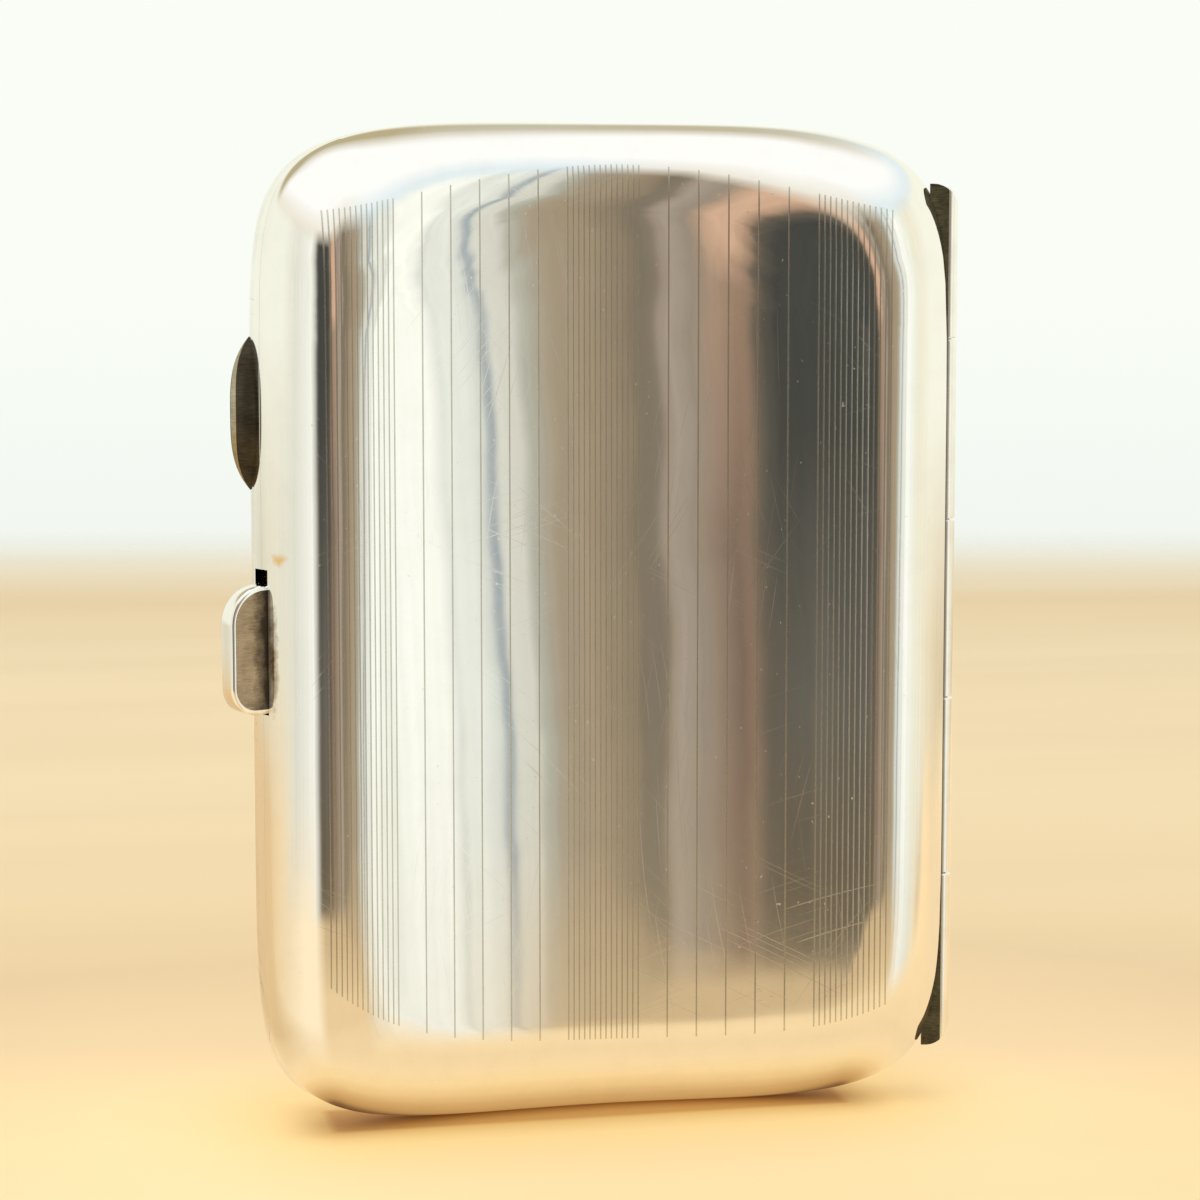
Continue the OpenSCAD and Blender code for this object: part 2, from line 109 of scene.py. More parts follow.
def make_mesh(name, points, faces, materials, normals=None, indices=None, crisp=()):
    """A mesh object from points in millimetres. normals has one row for each corner of a face.

    crisp lists the faces whose edges stay sharp.
    """
    mesh = bpy.data.meshes.new(name)
    mesh.from_pydata((np.asarray(points) * MM).tolist(), [], [list(map(int, f)) for f in faces])
    mesh.polygons.foreach_set("use_smooth", [True] * len(faces))
    if indices is not None:
        mesh.polygons.foreach_set("material_index", list(map(int, indices)))
    mesh.update()
    if crisp:
        sharp = np.zeros(len(mesh.edges), bool)
        for i in crisp:
            sharp[[mesh.loops[k].edge_index for k in mesh.polygons[i].loop_indices]] = True
        mesh.edges.foreach_set("use_edge_sharp", sharp)
    if normals is not None:
        mesh.normals_split_custom_set(normals.tolist())
    ob = bpy.data.objects.new(name, mesh)
    bpy.context.scene.collection.objects.link(ob)
    for m in materials:
        mesh.materials.append(m)
    return ob


# ---- outline of the case
def ring_z(u, inset):
    """Half height of the outline ring at an inset, at the place u."""
    x = np.clip(np.abs(u) / (HALF_W - inset), 0, 1)
    return (HALF_H - inset) * (1 - x ** ACROSS_N) ** (1 / UP_N)


def ring_u(z, inset):
    """Half width of the outline ring at an inset, at the height z from the middle."""
    y = np.clip(np.abs(z) / (HALF_H - inset), 0, 1)
    return (HALF_W - inset) * (1 - y ** UP_N) ** (1 / ACROSS_N)


def inset_at(u, z):
    """Inset of the ring that runs through a flat point, up to just past the rounded edge."""
    x, y = np.abs(u), np.abs(z)
    low, high = np.zeros_like(x), np.full_like(x, LOOK_EDGE + LEFT_EDGE_MORE + 0.5)
    for _ in range(HALVINGS):
        mid = (low + high) / 2
        inside = (x / (HALF_W - mid)) ** ACROSS_N + (y / (HALF_H - mid)) ** UP_N < 1
        low, high = np.where(inside, mid, low), np.where(inside, high, mid)
    return (low + high) / 2


def inset_slope(u, z, inset):
    """How fast the inset grows along u and z."""
    a, b = HALF_W - inset, HALF_H - inset
    x, y = np.abs(u) / a, np.abs(z) / b
    fu = ACROSS_N * x ** (ACROSS_N - 1) / a * np.sign(u)
    fz = UP_N * y ** (UP_N - 1) / b * np.sign(z)
    fi = np.maximum(ACROSS_N * x ** ACROSS_N / a + UP_N * y ** UP_N / b, 1e-9)
    return -fu / fi, -fz / fi


def smooth_step(t):
    """Soft rise from 0 to 1 while t goes from 0 to 1."""
    t = np.clip(t, 0, 1)
    return t * t * (3 - 2 * t)


def look_normal(u, z, inset, w):
    """Flat normal of the polished outer skin at an inset and a depth."""
    side = smooth_step((np.abs(u) - SIDE_FROM) / SIDE_OVER)
    edge = LOOK_EDGE + side * np.where(u < 0, LEFT_EDGE_MORE, -RIGHT_EDGE_LESS)
    rise = LOOK_RISE + side * np.where(u < 0, 0, RIGHT_RISE_MORE)
    x = np.clip(1 - inset / edge, 0, 1)
    gu, gz = inset_slope(u, z, inset)
    lean = WALL_TURN * np.minimum(w / LAND, 1) * np.exp(-inset / WALL_OVER)
    forward = np.sqrt(1 - x * x) + lean
    corner = np.minimum((u / CORNER_U) ** 2, CORNER_MOST)
    corner = corner * smooth_step((np.abs(z) - CORNER_FROM) / CORNER_OVER)
    corner = np.where(z < 0, 0, corner) * CORNER_LIFT
    return -rise * x * gu, forward + 0 * u, -rise * x * gz + corner * forward


# ---- engine-turned lines
LINE_U = -0.44
FINE, WIDE, GROUP, SINGLES = 0.50, 2.704, 14, 5
GROOVE_HALF, GROOVE_DEEP, GROOVE_TILT, TAPER = 0.07, 0.012, 0.05, 0.7
# Heights where the lines end, as polynomials in u / 10, the highest power first
BOTTOM_END = (0.081, -0.060, 0.127, -0.234, 6.165)
TOP_END = (0.044, -0.025, -0.868, 0.182, 81.302)


def line_places():
    """Places of all lines: a middle group, then single lines and a group on each side."""
    half = FINE * (GROUP - 1) / 2
    out = [LINE_U + FINE * k - half for k in range(GROUP)]
    for side in (-1, 1):
        out += [LINE_U + side * (half + WIDE * j) for j in range(1, SINGLES + 1)]
        out += [LINE_U + side * (half + WIDE * (SINGLES + 1) + FINE * k) for k in range(GROUP)]
    return sorted(out)


def line_ends(u):
    """Heights from the middle of the lower and the upper ends of the lines."""
    return [np.polyval(end, u / 10) - HALF_H for end in (BOTTOM_END, TOP_END)]


# The face is a grid of points, the patch, with rings of points from its edge to the rim
PATCH_U, PATCH_INSET = 27.05, 1.0
LOW_ROWS, HIGH_ROWS = 9, 7
TOWARDS_MIDDLE = (0, 0.35, 0.7, 1.1, 1.6, 2.1, 2.7, 3.4, 4.4, 6.4)
BETWEEN, GAP_COLUMNS, RIGHT_COLUMNS = (0.2, 0.4, 0.6, 0.8), (0.15, 0.5, 0.85), (0.25, 0.5, 0.75)
PLAIN, LEFT_LIP, BOTTOM, RIGHT_LIP = 0, 1, 2, 3


def patch_columns():
    """Places of the patch's columns, and what each is."""
    cols = []
    lines = line_places()
    for c in lines:
        cols += [(c - GROOVE_HALF, LEFT_LIP), (c, BOTTOM), (c + GROOVE_HALF, RIGHT_LIP)]
    for p, q in zip(lines, lines[1:]):
        if q - p > 2 * FINE:
            cols += [(p + (q - p) * t, PLAIN) for t in GAP_COLUMNS]
    first, last = lines[0] - GROOVE_HALF, lines[-1] + GROOVE_HALF
    cols += [(-PATCH_U, PLAIN), (PATCH_U, PLAIN), ((first - PATCH_U) / 2, PLAIN)]
    cols += [(last + (PATCH_U - last) * t, PLAIN) for t in RIGHT_COLUMNS]
    cols.sort()
    return np.array([c[0] for c in cols]), np.array([c[1] for c in cols])


def patch_rows(u):
    """Heights from the middle of the patch's rows, one row of the result for each of them."""
    z0, z1 = -ring_z(u, PATCH_INSET), ring_z(u, PATCH_INSET)
    e0, e1 = line_ends(u)
    rows = [z0 + (e0 - z0) * t for t in np.linspace(0, 1, LOW_ROWS + 1)[:-1]]
    rows += [e0 + d for d in TOWARDS_MIDDLE]
    low, high = SLOT_LOW - HALF_H, SLOT_HIGH - HALF_H
    rows += [rows[-1] + (low - rows[-1]) * t for t in BETWEEN]
    rows += [low + (high - low) * t + 0 * u for t in (0, 1 / 3, 2 / 3, 1)]
    upper = e1 - TOWARDS_MIDDLE[-1]
    rows += [high + (upper - high) * t for t in BETWEEN]
    rows += [e1 - d for d in reversed(TOWARDS_MIDDLE)]
    rows += [e1 + (z1 - e1) * t for t in np.linspace(0, 1, HIGH_ROWS + 1)[1:]]
    return np.array(rows)


def outer_at(u, z):
    """Depth of the outer face and its flat normal at flat points."""
    i = inset_at(u, z)
    cos_t = np.clip(1 - i / EDGE, 0, 1)
    w = LAND + (DEPTH - LAND) * np.sqrt(1 - cos_t ** 2)
    return w, look_normal(u, z, i, w)


# Turns of the outer edge's last rings and of the inner edge's rings, in degrees
OUTER_TURNS, INNER_TURNS = (22, 13), (18, 30, 43, 57, 73, 90)
# Shares of the way from the patch to the first of those rings
RING_SHARES = (0.12, 0.24, 0.36, 0.48, 0.6, 0.72, 0.86)
# Where the patch's corners come to lie on the rim, and how sharply the rings fan out to it
END_U, CORNER_POWER = 28.0, 6
RIM_BEVEL, BEVEL_DIP, BURR = 0.04, 0.3, 0.05
# Numbers of the cover's materials
SKIN, GILDED, LINE = 0, 1, 2


def cover(name, side, materials, cuts):
    """One cover as a closed mesh. side is 1 for the front cover and -1 for the back one.

    cuts lists the pieces cut out of the rim, each as its first height, last height, u side,
    outer loop and inner loop.
    """
    cu, kind = patch_columns()
    rows = patch_rows(cu)
    nr, nc = rows.shape
    U = np.broadcast_to(cu, rows.shape)
    W, (nu, nw, nz) = outer_at(U, rows)
    e0, e1 = line_ends(cu)
    deep = smooth_step((rows - e0) / TAPER) * smooth_step((e1 - rows) / TAPER)
    W = W - np.where(kind == BOTTOM, GROOVE_DEEP * deep, 0)
    slope = GROOVE_TILT * deep

    points, normals = [], []

    def add(u, w, z, n):
        """Add points with flat normals, and give the number of the first."""
        start = len(points)
        p = bent(u, side * w, z + HALF_H)
        d = bent_direction(u, side * w, n[0], side * n[1], n[2])
        points.extend(p.reshape(-1, 3))
        normals.extend(d.reshape(-1, 3))
        return start

    add(U, W, rows, (nu, nw, nz))
    grid = np.arange(nr * nc).reshape(nr, nc)
    faces, corner_normals, mats, crisp = [], [], [], []
    base_normals = bent_direction(U, side * W, nu, side * nw, nz)
    tilted = {s: bent_direction(U, side * W, nu + s * slope * nw, side * nw, nz) for s in (-1, 1)}

    def face(f, n, m):
        """Add a face with a normal for each corner and a material's number."""
        if side < 0:
            f, n = f[::-1], n[::-1]
        faces.append(f)
        corner_normals.extend(n)
        mats.append(m)

    first_line, last_line = LOW_ROWS + 1, nr - HIGH_ROWS - 2
    for c in range(nc - 1):
        left_wall, right_wall = kind[c] == LEFT_LIP, kind[c] == BOTTOM
        for r in range(nr - 1):
            ids = [(r, c), (r, c + 1), (r + 1, c + 1), (r + 1, c)]
            n = []
            for (y, x) in ids:
                if left_wall and x == c:
                    n.append(tilted[1][y, x])
                elif right_wall and x == c + 1:
                    n.append(tilted[-1][y, x])
                else:
                    n.append(base_normals[y, x])
            cut_in = (left_wall or right_wall) and first_line <= r < last_line
            face([grid[y, x] for y, x in ids], n, LINE if cut_in else SKIN)

    # Points round the patch, anticlockwise from its lower left corner
    loop = [(0, c) for c in range(nc)] + [(r, nc - 1) for r in range(1, nr)]
    loop += [(nr - 1, c) for c in range(nc - 2, -1, -1)] + [(r, 0) for r in range(nr - 2, 0, -1)]
    lr, lc = np.array([p[0] for p in loop]), np.array([p[1] for p in loop])
    pu, pz = U[lr, lc], rows[lr, lc]
    on_row = (lr == 0) | (lr == nr - 1)
    pi = inset_at(pu, pz)
    corner_z = ring_z(np.array(PATCH_U), PATCH_INSET)
    end_z = float(ring_z(np.array(END_U), 0.0))
    n_loop = len(loop)

    def at_inset(i):
        """Loop of flat points at the inset i for each of them.

        Outside the patch's edge they fan out to the rim, and inside it the loop is scaled.
        """
        s = np.maximum(pi - i, 0) / np.maximum(pi, 1e-9)
        fan_u = (np.abs(pu) / PATCH_U) ** CORNER_POWER
        fan_z = (np.abs(pz) / corner_z) ** CORNER_POWER
        u = pu + np.sign(pu) * (END_U - PATCH_U) * fan_u * s
        z = pz + np.sign(pz) * (end_z - corner_z) * fan_z * s
        z_row = np.sign(pz) * ring_z(u, i)
        u_side = np.sign(pu) * ring_u(z, i)
        out_u, out_z = np.where(on_row, u, u_side), np.where(on_row, z_row, z)
        in_u, in_z = pu * (HALF_W - i) / (HALF_W - pi), pz * (HALF_H - i) / (HALF_H - pi)
        return np.where(i > pi, in_u, out_u), np.where(i > pi, in_z, out_z)

    loops = [grid[lr, lc]]
    kinds = ["patch"]

    def ring_loop(i, w, cos_t, sin_t, rise, flip, tag):
        """Add a loop at an inset and a depth, with the normal of a turn along the edge."""
        i = np.broadcast_to(i, pu.shape)
        u, z = at_inset(i)
        if tag.startswith("outer"):
            n = look_normal(u, z, i, w)
        else:
            gu, gz = inset_slope(u, z, i)
            k = -1 if flip else 1
            n = (-k * rise * cos_t * gu, k * sin_t + 0 * u, -k * rise * cos_t * gz)
        start = add(u, w + 0 * u, z, n)
        loops.append(np.arange(start, start + n_loop))
        kinds.append(tag)

    def edge_loop(th, start, width, depth, flip, tag):
        """Add the loop at the turn th of an elliptic edge that starts at an inset."""
        cos_t, sin_t, rise = np.cos(th), np.sin(th), depth - LAND
        ring_loop(start + width * (1 - cos_t), LAND + rise * sin_t, cos_t, sin_t, rise / width,
                  flip, tag)

    turn = np.arccos(np.clip(1 - pi / EDGE, 0, 1))
    recess_t = math.asin((RECESS_W - LAND) / (DEPTH - LAND))
    fixed = [math.radians(a) for a in OUTER_TURNS] + [recess_t, 0.0]
    for t in RING_SHARES:
        edge_loop(turn + (fixed[0] - turn) * t, 0, EDGE, DEPTH, False, "outer")
    for th in fixed:
        tag = {recess_t: "outer_recess", 0.0: "outer_land"}.get(th, "outer")
        edge_loop(th, 0, EDGE, DEPTH, False, tag)
    dip = RIM_BEVEL * BEVEL_DIP
    for i, w, cos_t, sin_t, flip, tag in (
            (0.0, LAND / 2, 1.0, 0.0, False, "outer"), (0.0, RIM_BEVEL, 1.0, 0.0, False, "outer"),
            (dip, dip, 0.7, -0.7, False, "rim"), (RIM_BEVEL, 0.0, 0.0, -1.0, False, "rim"),
            (SHEET - BURR, 0.0, 0.0, -1.0, False, "rim"), (SHEET, BURR, 1.0, 0.0, True, "inner")):
        ring_loop(i, w, cos_t, sin_t, 1.0, flip, tag)
    inner_recess = math.asin((RECESS_W - LAND) / (INNER_DEPTH - LAND))
    for th in [0.0, inner_recess] + [math.radians(a) for a in INNER_TURNS]:
        tag = {inner_recess: "inner_recess", 0.0: "inner_land"}.get(th, "inner")
        edge_loop(th, SHEET, INNER_EDGE, INNER_DEPTH, True, tag)

    rim_at = kinds.index("rim")
    normal_rows = np.array(normals)
    place = np.array(points)

    def flat_normal(ids):
        """Direction of a face from its own points, for the side that face() gives it."""
        p = place[ids]
        d = np.cross(p - p[0], np.roll(p, -1, 0) - p[0]).sum(0)
        return side * d / max(np.linalg.norm(d), 1e-12)

    nxt = np.roll(np.arange(n_loop), -1)
    cut_spans = []
    for low, high, sign, a, b in cuts:
        la, lb = kinds.index(a), kinds.index(b)
        zc = (pz + pz[nxt]) / 2 + HALF_H
        keep = (lc == (nc - 1 if sign > 0 else 0)) & (zc > low) & (zc < high)
        keep &= lc[nxt] == lc
        cut_spans.append((la, lb, np.where(keep)[0]))
    for k in range(len(loops) - 1):
        gone = set()
        for la, lb, idx in cut_spans:
            if la <= k < lb:
                gone |= set(idx.tolist())
        look = GILDED if k >= rim_at + 2 else SKIN
        flat = kinds[k] == "rim" or kinds[k + 1] == "rim"
        for j in range(n_loop):
            if j in gone:
                continue
            q = nxt[j]
            ids = [loops[k][j], loops[k + 1][j], loops[k + 1][q], loops[k][q]]
            n = [flat_normal(ids)] * 4 if flat else [normal_rows[x] for x in ids]
            if flat:
                crisp.append(len(faces))
            face(ids, n, look)
    for la, lb, idx in cut_spans:
        for j in idx:
            q = nxt[j]
            ids = [loops[la][j], loops[lb][j], loops[lb][q], loops[la][q]]
            crisp.append(len(faces))
            face(ids, [flat_normal(ids)] * 4, SKIN)
        crisp += [len(faces), len(faces) + 1]
        ends = [[loops[k][j] for k in range(la, lb + 1)] for j in (idx[0], nxt[idx[-1]])]
        for ring in (ends[0][::-1], ends[1]):
            face(ring, [flat_normal(ring)] * len(ring), SKIN)

    # Inner face, with the same grid as the patch
    inner = np.empty((nr, nc), int)
    inner[lr, lc] = loops[-1]
    u_last, z_last = at_inset(np.full(n_loop, EDGE))
    fu, fz = np.empty((nr, nc)), np.empty((nr, nc))
    fu[lr, lc], fz[lr, lc] = u_last, z_last
    for c in range(1, nc - 1):
        t = (rows[1:-1, c] - rows[0, c]) / (rows[-1, c] - rows[0, c])
        fu[1:-1, c] = fu[0, c] + (fu[-1, c] - fu[0, c]) * t
        fz[1:-1, c] = fz[0, c] + (fz[-1, c] - fz[0, c]) * t
    iu, iz = fu[1:-1, 1:-1], fz[1:-1, 1:-1]
    start = add(iu, np.full(iu.shape, INNER_DEPTH), iz, (0 * iu, -1 + 0 * iu, 0 * iu))
    inner[1:-1, 1:-1] = np.arange(start, start + iu.size).reshape(iu.shape)
    normal_rows = np.array(normals)
    for c in range(nc - 1):
        for r in range(nr - 1):
            ids = [inner[y, x] for y, x in ((r, c), (r + 1, c), (r + 1, c + 1), (r, c + 1))]
            face(ids, [normal_rows[x] for x in ids], GILDED)
    return make_mesh(name, points, faces, materials, np.array(corner_normals), mats, crisp)


# ---- materials
def srgb(r, g, b):
    """Colour for a node, from values of 0 to 255 as a picture shows them."""
    def lin(c):
        c /= 255
        return c / 12.92 if c <= 0.04045 else ((c + 0.055) / 1.055) ** 2.4
    return (lin(r), lin(g), lin(b), 1.0)


class Nodes:
    """Short calls for building a node tree."""

    def __init__(self, tree):
        self.nodes, self.links = tree.nodes, tree.links

    def put(self, node, inputs):
        """Give inputs of a node their values or links."""
        for socket, value in dict(inputs).items():
            if isinstance(value, bpy.types.NodeSocket):
                self.links.new(value, node.inputs[socket])
            else:
                node.inputs[socket].default_value = value

    def new(self, kind, inputs=(), **settings):
        """Outputs of a new node."""
        node = self.nodes.new(kind)
        for k, v in settings.items():
            setattr(node, k, v)
        self.put(node, inputs)
        return node.outputs

    def math(self, op, first, *rest):
        """One operation over several values, from the first to the last."""
        if not rest:
            return self.new("ShaderNodeMath", {0: first}, operation=op)[0]
        for v in rest:
            first = self.new("ShaderNodeMath", {0: first, 1: v}, operation=op)[0]
        return first

    def add(self, *values):
        return self.math("ADD", *values)

    def less(self, *values):
        return self.math("SUBTRACT", *values)

    def times(self, *values):
        return self.math("MULTIPLY", *values)

    def most(self, *values):
        return self.math("MAXIMUM", *values)

    def length(self, a, b):
        return self.math("SQRT", self.add(self.times(a, a), self.times(b, b)))

    def span(self, value, a, b, c=0.0, d=1.0):
        """From c to d while the value goes from a to b, and no further."""
        return self.new("ShaderNodeMapRange", enumerate((value, a, b, c, d)), clamp=True)[0]

    def spans(self, *each):
        """Product of spans, each given by its value and ends."""
        spans = [self.span(*one) for one in each]
        return self.times(*spans) if len(spans) > 1 else spans[0]

    def parts(self, vector):
        return self.new("ShaderNodeSeparateXYZ", {0: vector})

    def vector(self, *values):
        return self.new("ShaderNodeCombineXYZ", enumerate(values))[0]

    def vector_math(self, op, *values):
        return self.new("ShaderNodeVectorMath", enumerate(values), operation=op)["Value"]

    def mapping(self, vector, scale=(1, 1, 1), rotation=(0, 0, 0), location=(0, 0, 0)):
        return self.new("ShaderNodeMapping", dict(
            Vector=vector, Scale=scale, Rotation=rotation, Location=location))[0]

    def noise(self, vector, scale, detail=2.0, rough=0.5):
        return self.new("ShaderNodeTexNoise", dict(
            Vector=vector, Scale=scale, Detail=detail, Roughness=rough))["Fac"]

    def bump(self, height, strength, distance, **under):
        return self.new("ShaderNodeBump", dict(
            Height=height, Strength=strength, Distance=distance, **under))[0]

    def mix(self, factor, a, b, blend="MIX"):
        return self.new("ShaderNodeMix", {0: factor, 6: a, 7: b}, data_type="RGBA",
                        blend_type=blend)[2]

    def tones(self, value, stops):
        """Colours along a value. stops are pairs of a value and a picture colour."""
        low, high = stops[0][0], stops[-1][0]
        node = self.nodes.new("ShaderNodeValToRGB")
        elements = node.color_ramp.elements
        while len(elements) < len(stops):
            elements.new(0.5)
        for e, (v, _) in zip(elements, stops):
            e.position = (v - low) / (high - low)
        for e, (_, tone) in zip(elements, stops):
            e.color = srgb(*tone)
        self.put(node, {0: self.span(value, low, high)})
        return node.outputs[0]


def new_material(name):
    """Material, its nodes, its shader, and places on the piece in millimetres."""
    m = bpy.data.materials.new(name)
    m.use_nodes = True
    n = Nodes(m.node_tree)
    place = n.mapping(n.new("ShaderNodeTexCoord")["Object"], scale=(1 / MM,) * 3)
    return m, n, m.node_tree.nodes["Principled BSDF"], place


# Seed and angle in degrees of each family of scratches, their width and length, and how rare
# they are
SCRATCHES = ((3.1, 24), (11.7, -38), (29.3, 63), (47.9, -72), (61.3, 8), (83.9, -12), (97.1, 47))
SCRATCH_W, SCRATCH_LEN, SCRATCH_CUT = 0.10, 14.0, 0.75


def scratch_mask(n, place):
    """Fine scratches, from noise stretched along each angle and bent a little."""
    marks = []
    sway = n.times(n.less(n.noise(place, 0.04, 0.0), 0.5), 4.0)
    for seed, angle in SCRATCHES:
        x, _, z = n.parts(n.mapping(place, rotation=(0, math.radians(angle), 0),
                                    location=(seed, 0, seed * 1.7)))
        moved = n.vector(n.times(n.add(x, sway), 1 / SCRATCH_W), seed, n.times(z, 1 / SCRATCH_LEN))
        mark = n.span(n.noise(moved, 1.0, 0.0), SCRATCH_CUT, SCRATCH_CUT + 0.06)
        here = n.span(n.noise(n.mapping(place, location=(seed, 9, 2)), 0.05, 1.0), 0.5, 0.66)
        marks.append(n.times(mark, here))
    return n.most(*marks)


def soft_spot(n, place, centre, size, edge):
    """Soft spot round a point in millimetres, from 1 inside to 0 at its uneven edge."""
    spot = n.mapping(place, location=tuple(-float(c) for c in centre))
    reach = n.vector_math("LENGTH", n.mapping(spot, scale=[1 / c for c in size]))
    uneven = n.span(n.noise(place, 1.2, 2.0), 0.3, 0.7, -edge, edge)
    return n.span(n.add(reach, uneven), 1.0, 0.1)


BRIGHT_TINT, DULL_TINT = (0.962, 0.95, 0.925, 1.0), (0.33, 0.27, 0.20, 1.0)


def silver(name, rough=0.025, scratches=1.0, tarnish=0.0, spots=()):
    """Polished silver with wavy skin, fine scratches, specks, a little tarnish and soft spots of
    other tones.
    """
    m, n, s, place = new_material(name)
    smudge = n.span(n.noise(place, 0.11, 4.0, 0.6), 0.35, 0.75)
    fine = n.span(n.noise(place, 2.2, 3.0, 0.6), 0.3, 0.8)
    marks = n.times(scratch_mask(n, place), 0.6 * scratches)
    specks = n.noise(n.mapping(place, location=(5, 5, 5)), 3.2, 0.0)
    marks = n.most(marks, n.span(specks, 0.83, 0.86, 0.0, 0.9 * scratches))
    dull = n.span(n.noise(n.mapping(place, location=(7, 3, 1)), 0.35, 5.0, 0.65), 0.45, 0.8)
    color = n.mix(n.times(dull, 0.06 + tarnish), BRIGHT_TINT, DULL_TINT)
    for centre, size, edge, tone in spots:
        color = n.mix(soft_spot(n, place, centre, size, edge), color, tone)
    rough = n.add(rough, n.times(smudge, 0.035), n.times(fine, 0.015), n.times(marks, 0.22))
    waves = n.bump(n.noise(n.mapping(place, location=(1, 4, 8)), 0.07, 2.0), 0.35, 0.00006)
    marked = n.bump(n.add(marks, n.times(fine, 0.1)), 0.2, 0.000004, Normal=waves)
    n.put(s, {"Base Color": color, "Metallic": 1.0, "Roughness": rough, "Normal": marked})
    return m


def old_silver(name, light, dark, rough, painted_shade=None):
    """Silver with a worn skin between two tones, drawn with fine level strokes.

    Its last argument gives painted shade: a direction, two distances along it and the darker tone
    between them.
    """
    m, n, s, place = new_material(name)
    strokes = n.noise(n.mapping(place, scale=(1.2, 1.2, 16)), 1.0, 3.0, 0.6)
    patches = n.noise(n.mapping(place, location=(2, 6, 4)), 0.55, 4.0, 0.6)
    worn = n.add(n.times(strokes, 0.6), n.times(patches, 0.6))
    color = n.mix(n.span(worn, 0.42, 0.78), light, dark)
    # Painted shade: darker between the two distances along the given direction
    if painted_shade:
        along = n.vector_math("DOT_PRODUCT", place, painted_shade[0])
        depth = n.add(along, n.span(patches, 0.3, 0.7, -0.5, 0.5))
        color = n.mix(n.span(depth, painted_shade[1], painted_shade[2]), color, painted_shade[3])
    n.put(s, {"Base Color": color, "Metallic": 1.0, "Normal": n.bump(strokes, 0.3, 0.000015),
              "Roughness": n.add(rough, n.times(strokes, 0.12))})
    return m


def gilt(name):
    """Gilding, brushed along the piece and worn in patches."""
    m, n, s, place = new_material(name)
    wear = n.span(n.noise(place, 0.25, 5.0, 0.65), 0.45, 0.75)
    brush = n.noise(n.mapping(place, scale=(0.6, 0.6, 14)), 1.0, 2.0)
    color = n.mix(n.times(wear, 0.35), (0.93, 0.71, 0.36, 1.0), (0.90, 0.80, 0.58, 1.0))
    n.put(s, {"Base Color": color, "Metallic": 1.0, "Normal": n.bump(brush, 0.25, 0.00001),
              "Roughness": n.add(0.17, n.times(brush, 0.16))})
    return m


def steel(name):
    m, n, s, place = new_material(name)
    grain = n.noise(n.mapping(place, scale=(1, 1, 9)), 1.5, 3.0)
    color = n.mix(grain, (0.30, 0.29, 0.28, 1), (0.55, 0.54, 0.52, 1))
    n.put(s, {"Base Color": color, "Metallic": 1.0, "Roughness": n.add(0.22, n.times(grain, 0.2))})
    return m


def elastic(name):
    """Woven elastic web, a little soiled."""
    m, n, s, place = new_material(name)
    warp = n.new("ShaderNodeTexWave", dict(Vector=place, Scale=0.8), wave_type="BANDS",
                 bands_direction="Z")["Fac"]
    weft = n.new("ShaderNodeTexWave", dict(Vector=place, Scale=1.3, Distortion=0.6),
                 wave_type="BANDS", bands_direction="X")["Fac"]
    weave = n.times(warp, weft)
    soil = n.span(n.noise(place, 0.3, 4.0, 0.6), 0.45, 0.8, 0, 0.4)
    color = n.mix(weave, srgb(150, 128, 88), srgb(206, 186, 142))
    n.put(s, {"Base Color": n.mix(soil, color, srgb(128, 104, 70)), "Sheen Weight": 0.3,
              "Roughness": n.add(0.7, n.times(weave, 0.15)), "Normal": n.bump(weave, 0.6, 0.00006)})
    return m


# Direction from the left wall into the case, and how far along it the wall lies
WALL_IN = (math.cos(SIDE_ANGLE), math.sin(SIDE_ANGLE), 0)
wall_at = float(bent(-HALF_W, 0.0, 0.0) @ np.array(WALL_IN))
# A brown darkening beside the slot and a small warm spot above it
SILVER = silver("polished_silver", spots=(
    (bent(-30.2, 1.6, 40.6), (0.7, 0.6, 5.0), 0.25, srgb(130, 112, 82)),
    (bent(-29.9, 2.36, 48.7), (0.9, 0.9, 0.6), 0.3, srgb(244, 206, 142))))
KNUCKLE = silver("hinge_silver", rough=0.1, scratches=0.5, tarnish=0.1)
BRIGHT = silver("thumb_rim_silver", rough=0.08, scratches=0.3)
# The thumb piece: a worn skin, with painted shade darkening its face towards the wall
WORN_AND_SHADED = old_silver("thumb_silver", srgb(190, 170, 146), srgb(142, 122, 100), 0.2,
                  (WALL_IN, wall_at - 1.5, wall_at - 0.2, srgb(66, 56, 44)))
# Painted dark reflection: the boss's sides get a dark tone in place of what their mirror shows
BOSS_PAINTED_DARK = old_silver("boss_painted_dark_silver", srgb(84, 78, 66), srgb(48, 42, 32), 0.3)
# Painted shade: the hinge bearers are dark as though shaded in the corner by the barrel
BEARER_PAINTED_SHADE = old_silver("bearer_painted_shade_silver", srgb(112, 106, 86), srgb(48, 43, 30), 0.3)
# The boss's ridge: lighter from wear, and from a painted highlight
RIDGE_WEAR_AND_HIGHLIGHT = old_silver("ridge_silver", srgb(196, 186, 164), srgb(140, 130, 110), 0.2)
GROOVE = old_silver("groove_silver", srgb(216, 214, 205), srgb(198, 195, 184), 0.16)
GILT = gilt("gilding")
STEEL = steel("spring_steel")
ELASTIC = elastic("elastic_web")

slot_cut = (SLOT_LOW, SLOT_HIGH, -1, "outer_land", "inner_land")
hinge_cut = (HALF_H - RECESS_HALF, HALF_H + RECESS_HALF, 1, "outer_recess", "inner_recess")
front = cover("front_cover_skin", 1, [SILVER, GILT, GROOVE], [slot_cut, hinge_cut])
back = cover("back_cover_skin", -1, [SILVER, GILT, GROOVE], [slot_cut, hinge_cut])
for ob, node, body in ((front, "front_cover", "case_front"), (back, "back_cover", "case_back")):
    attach(ob, body)
    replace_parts(ob, node)


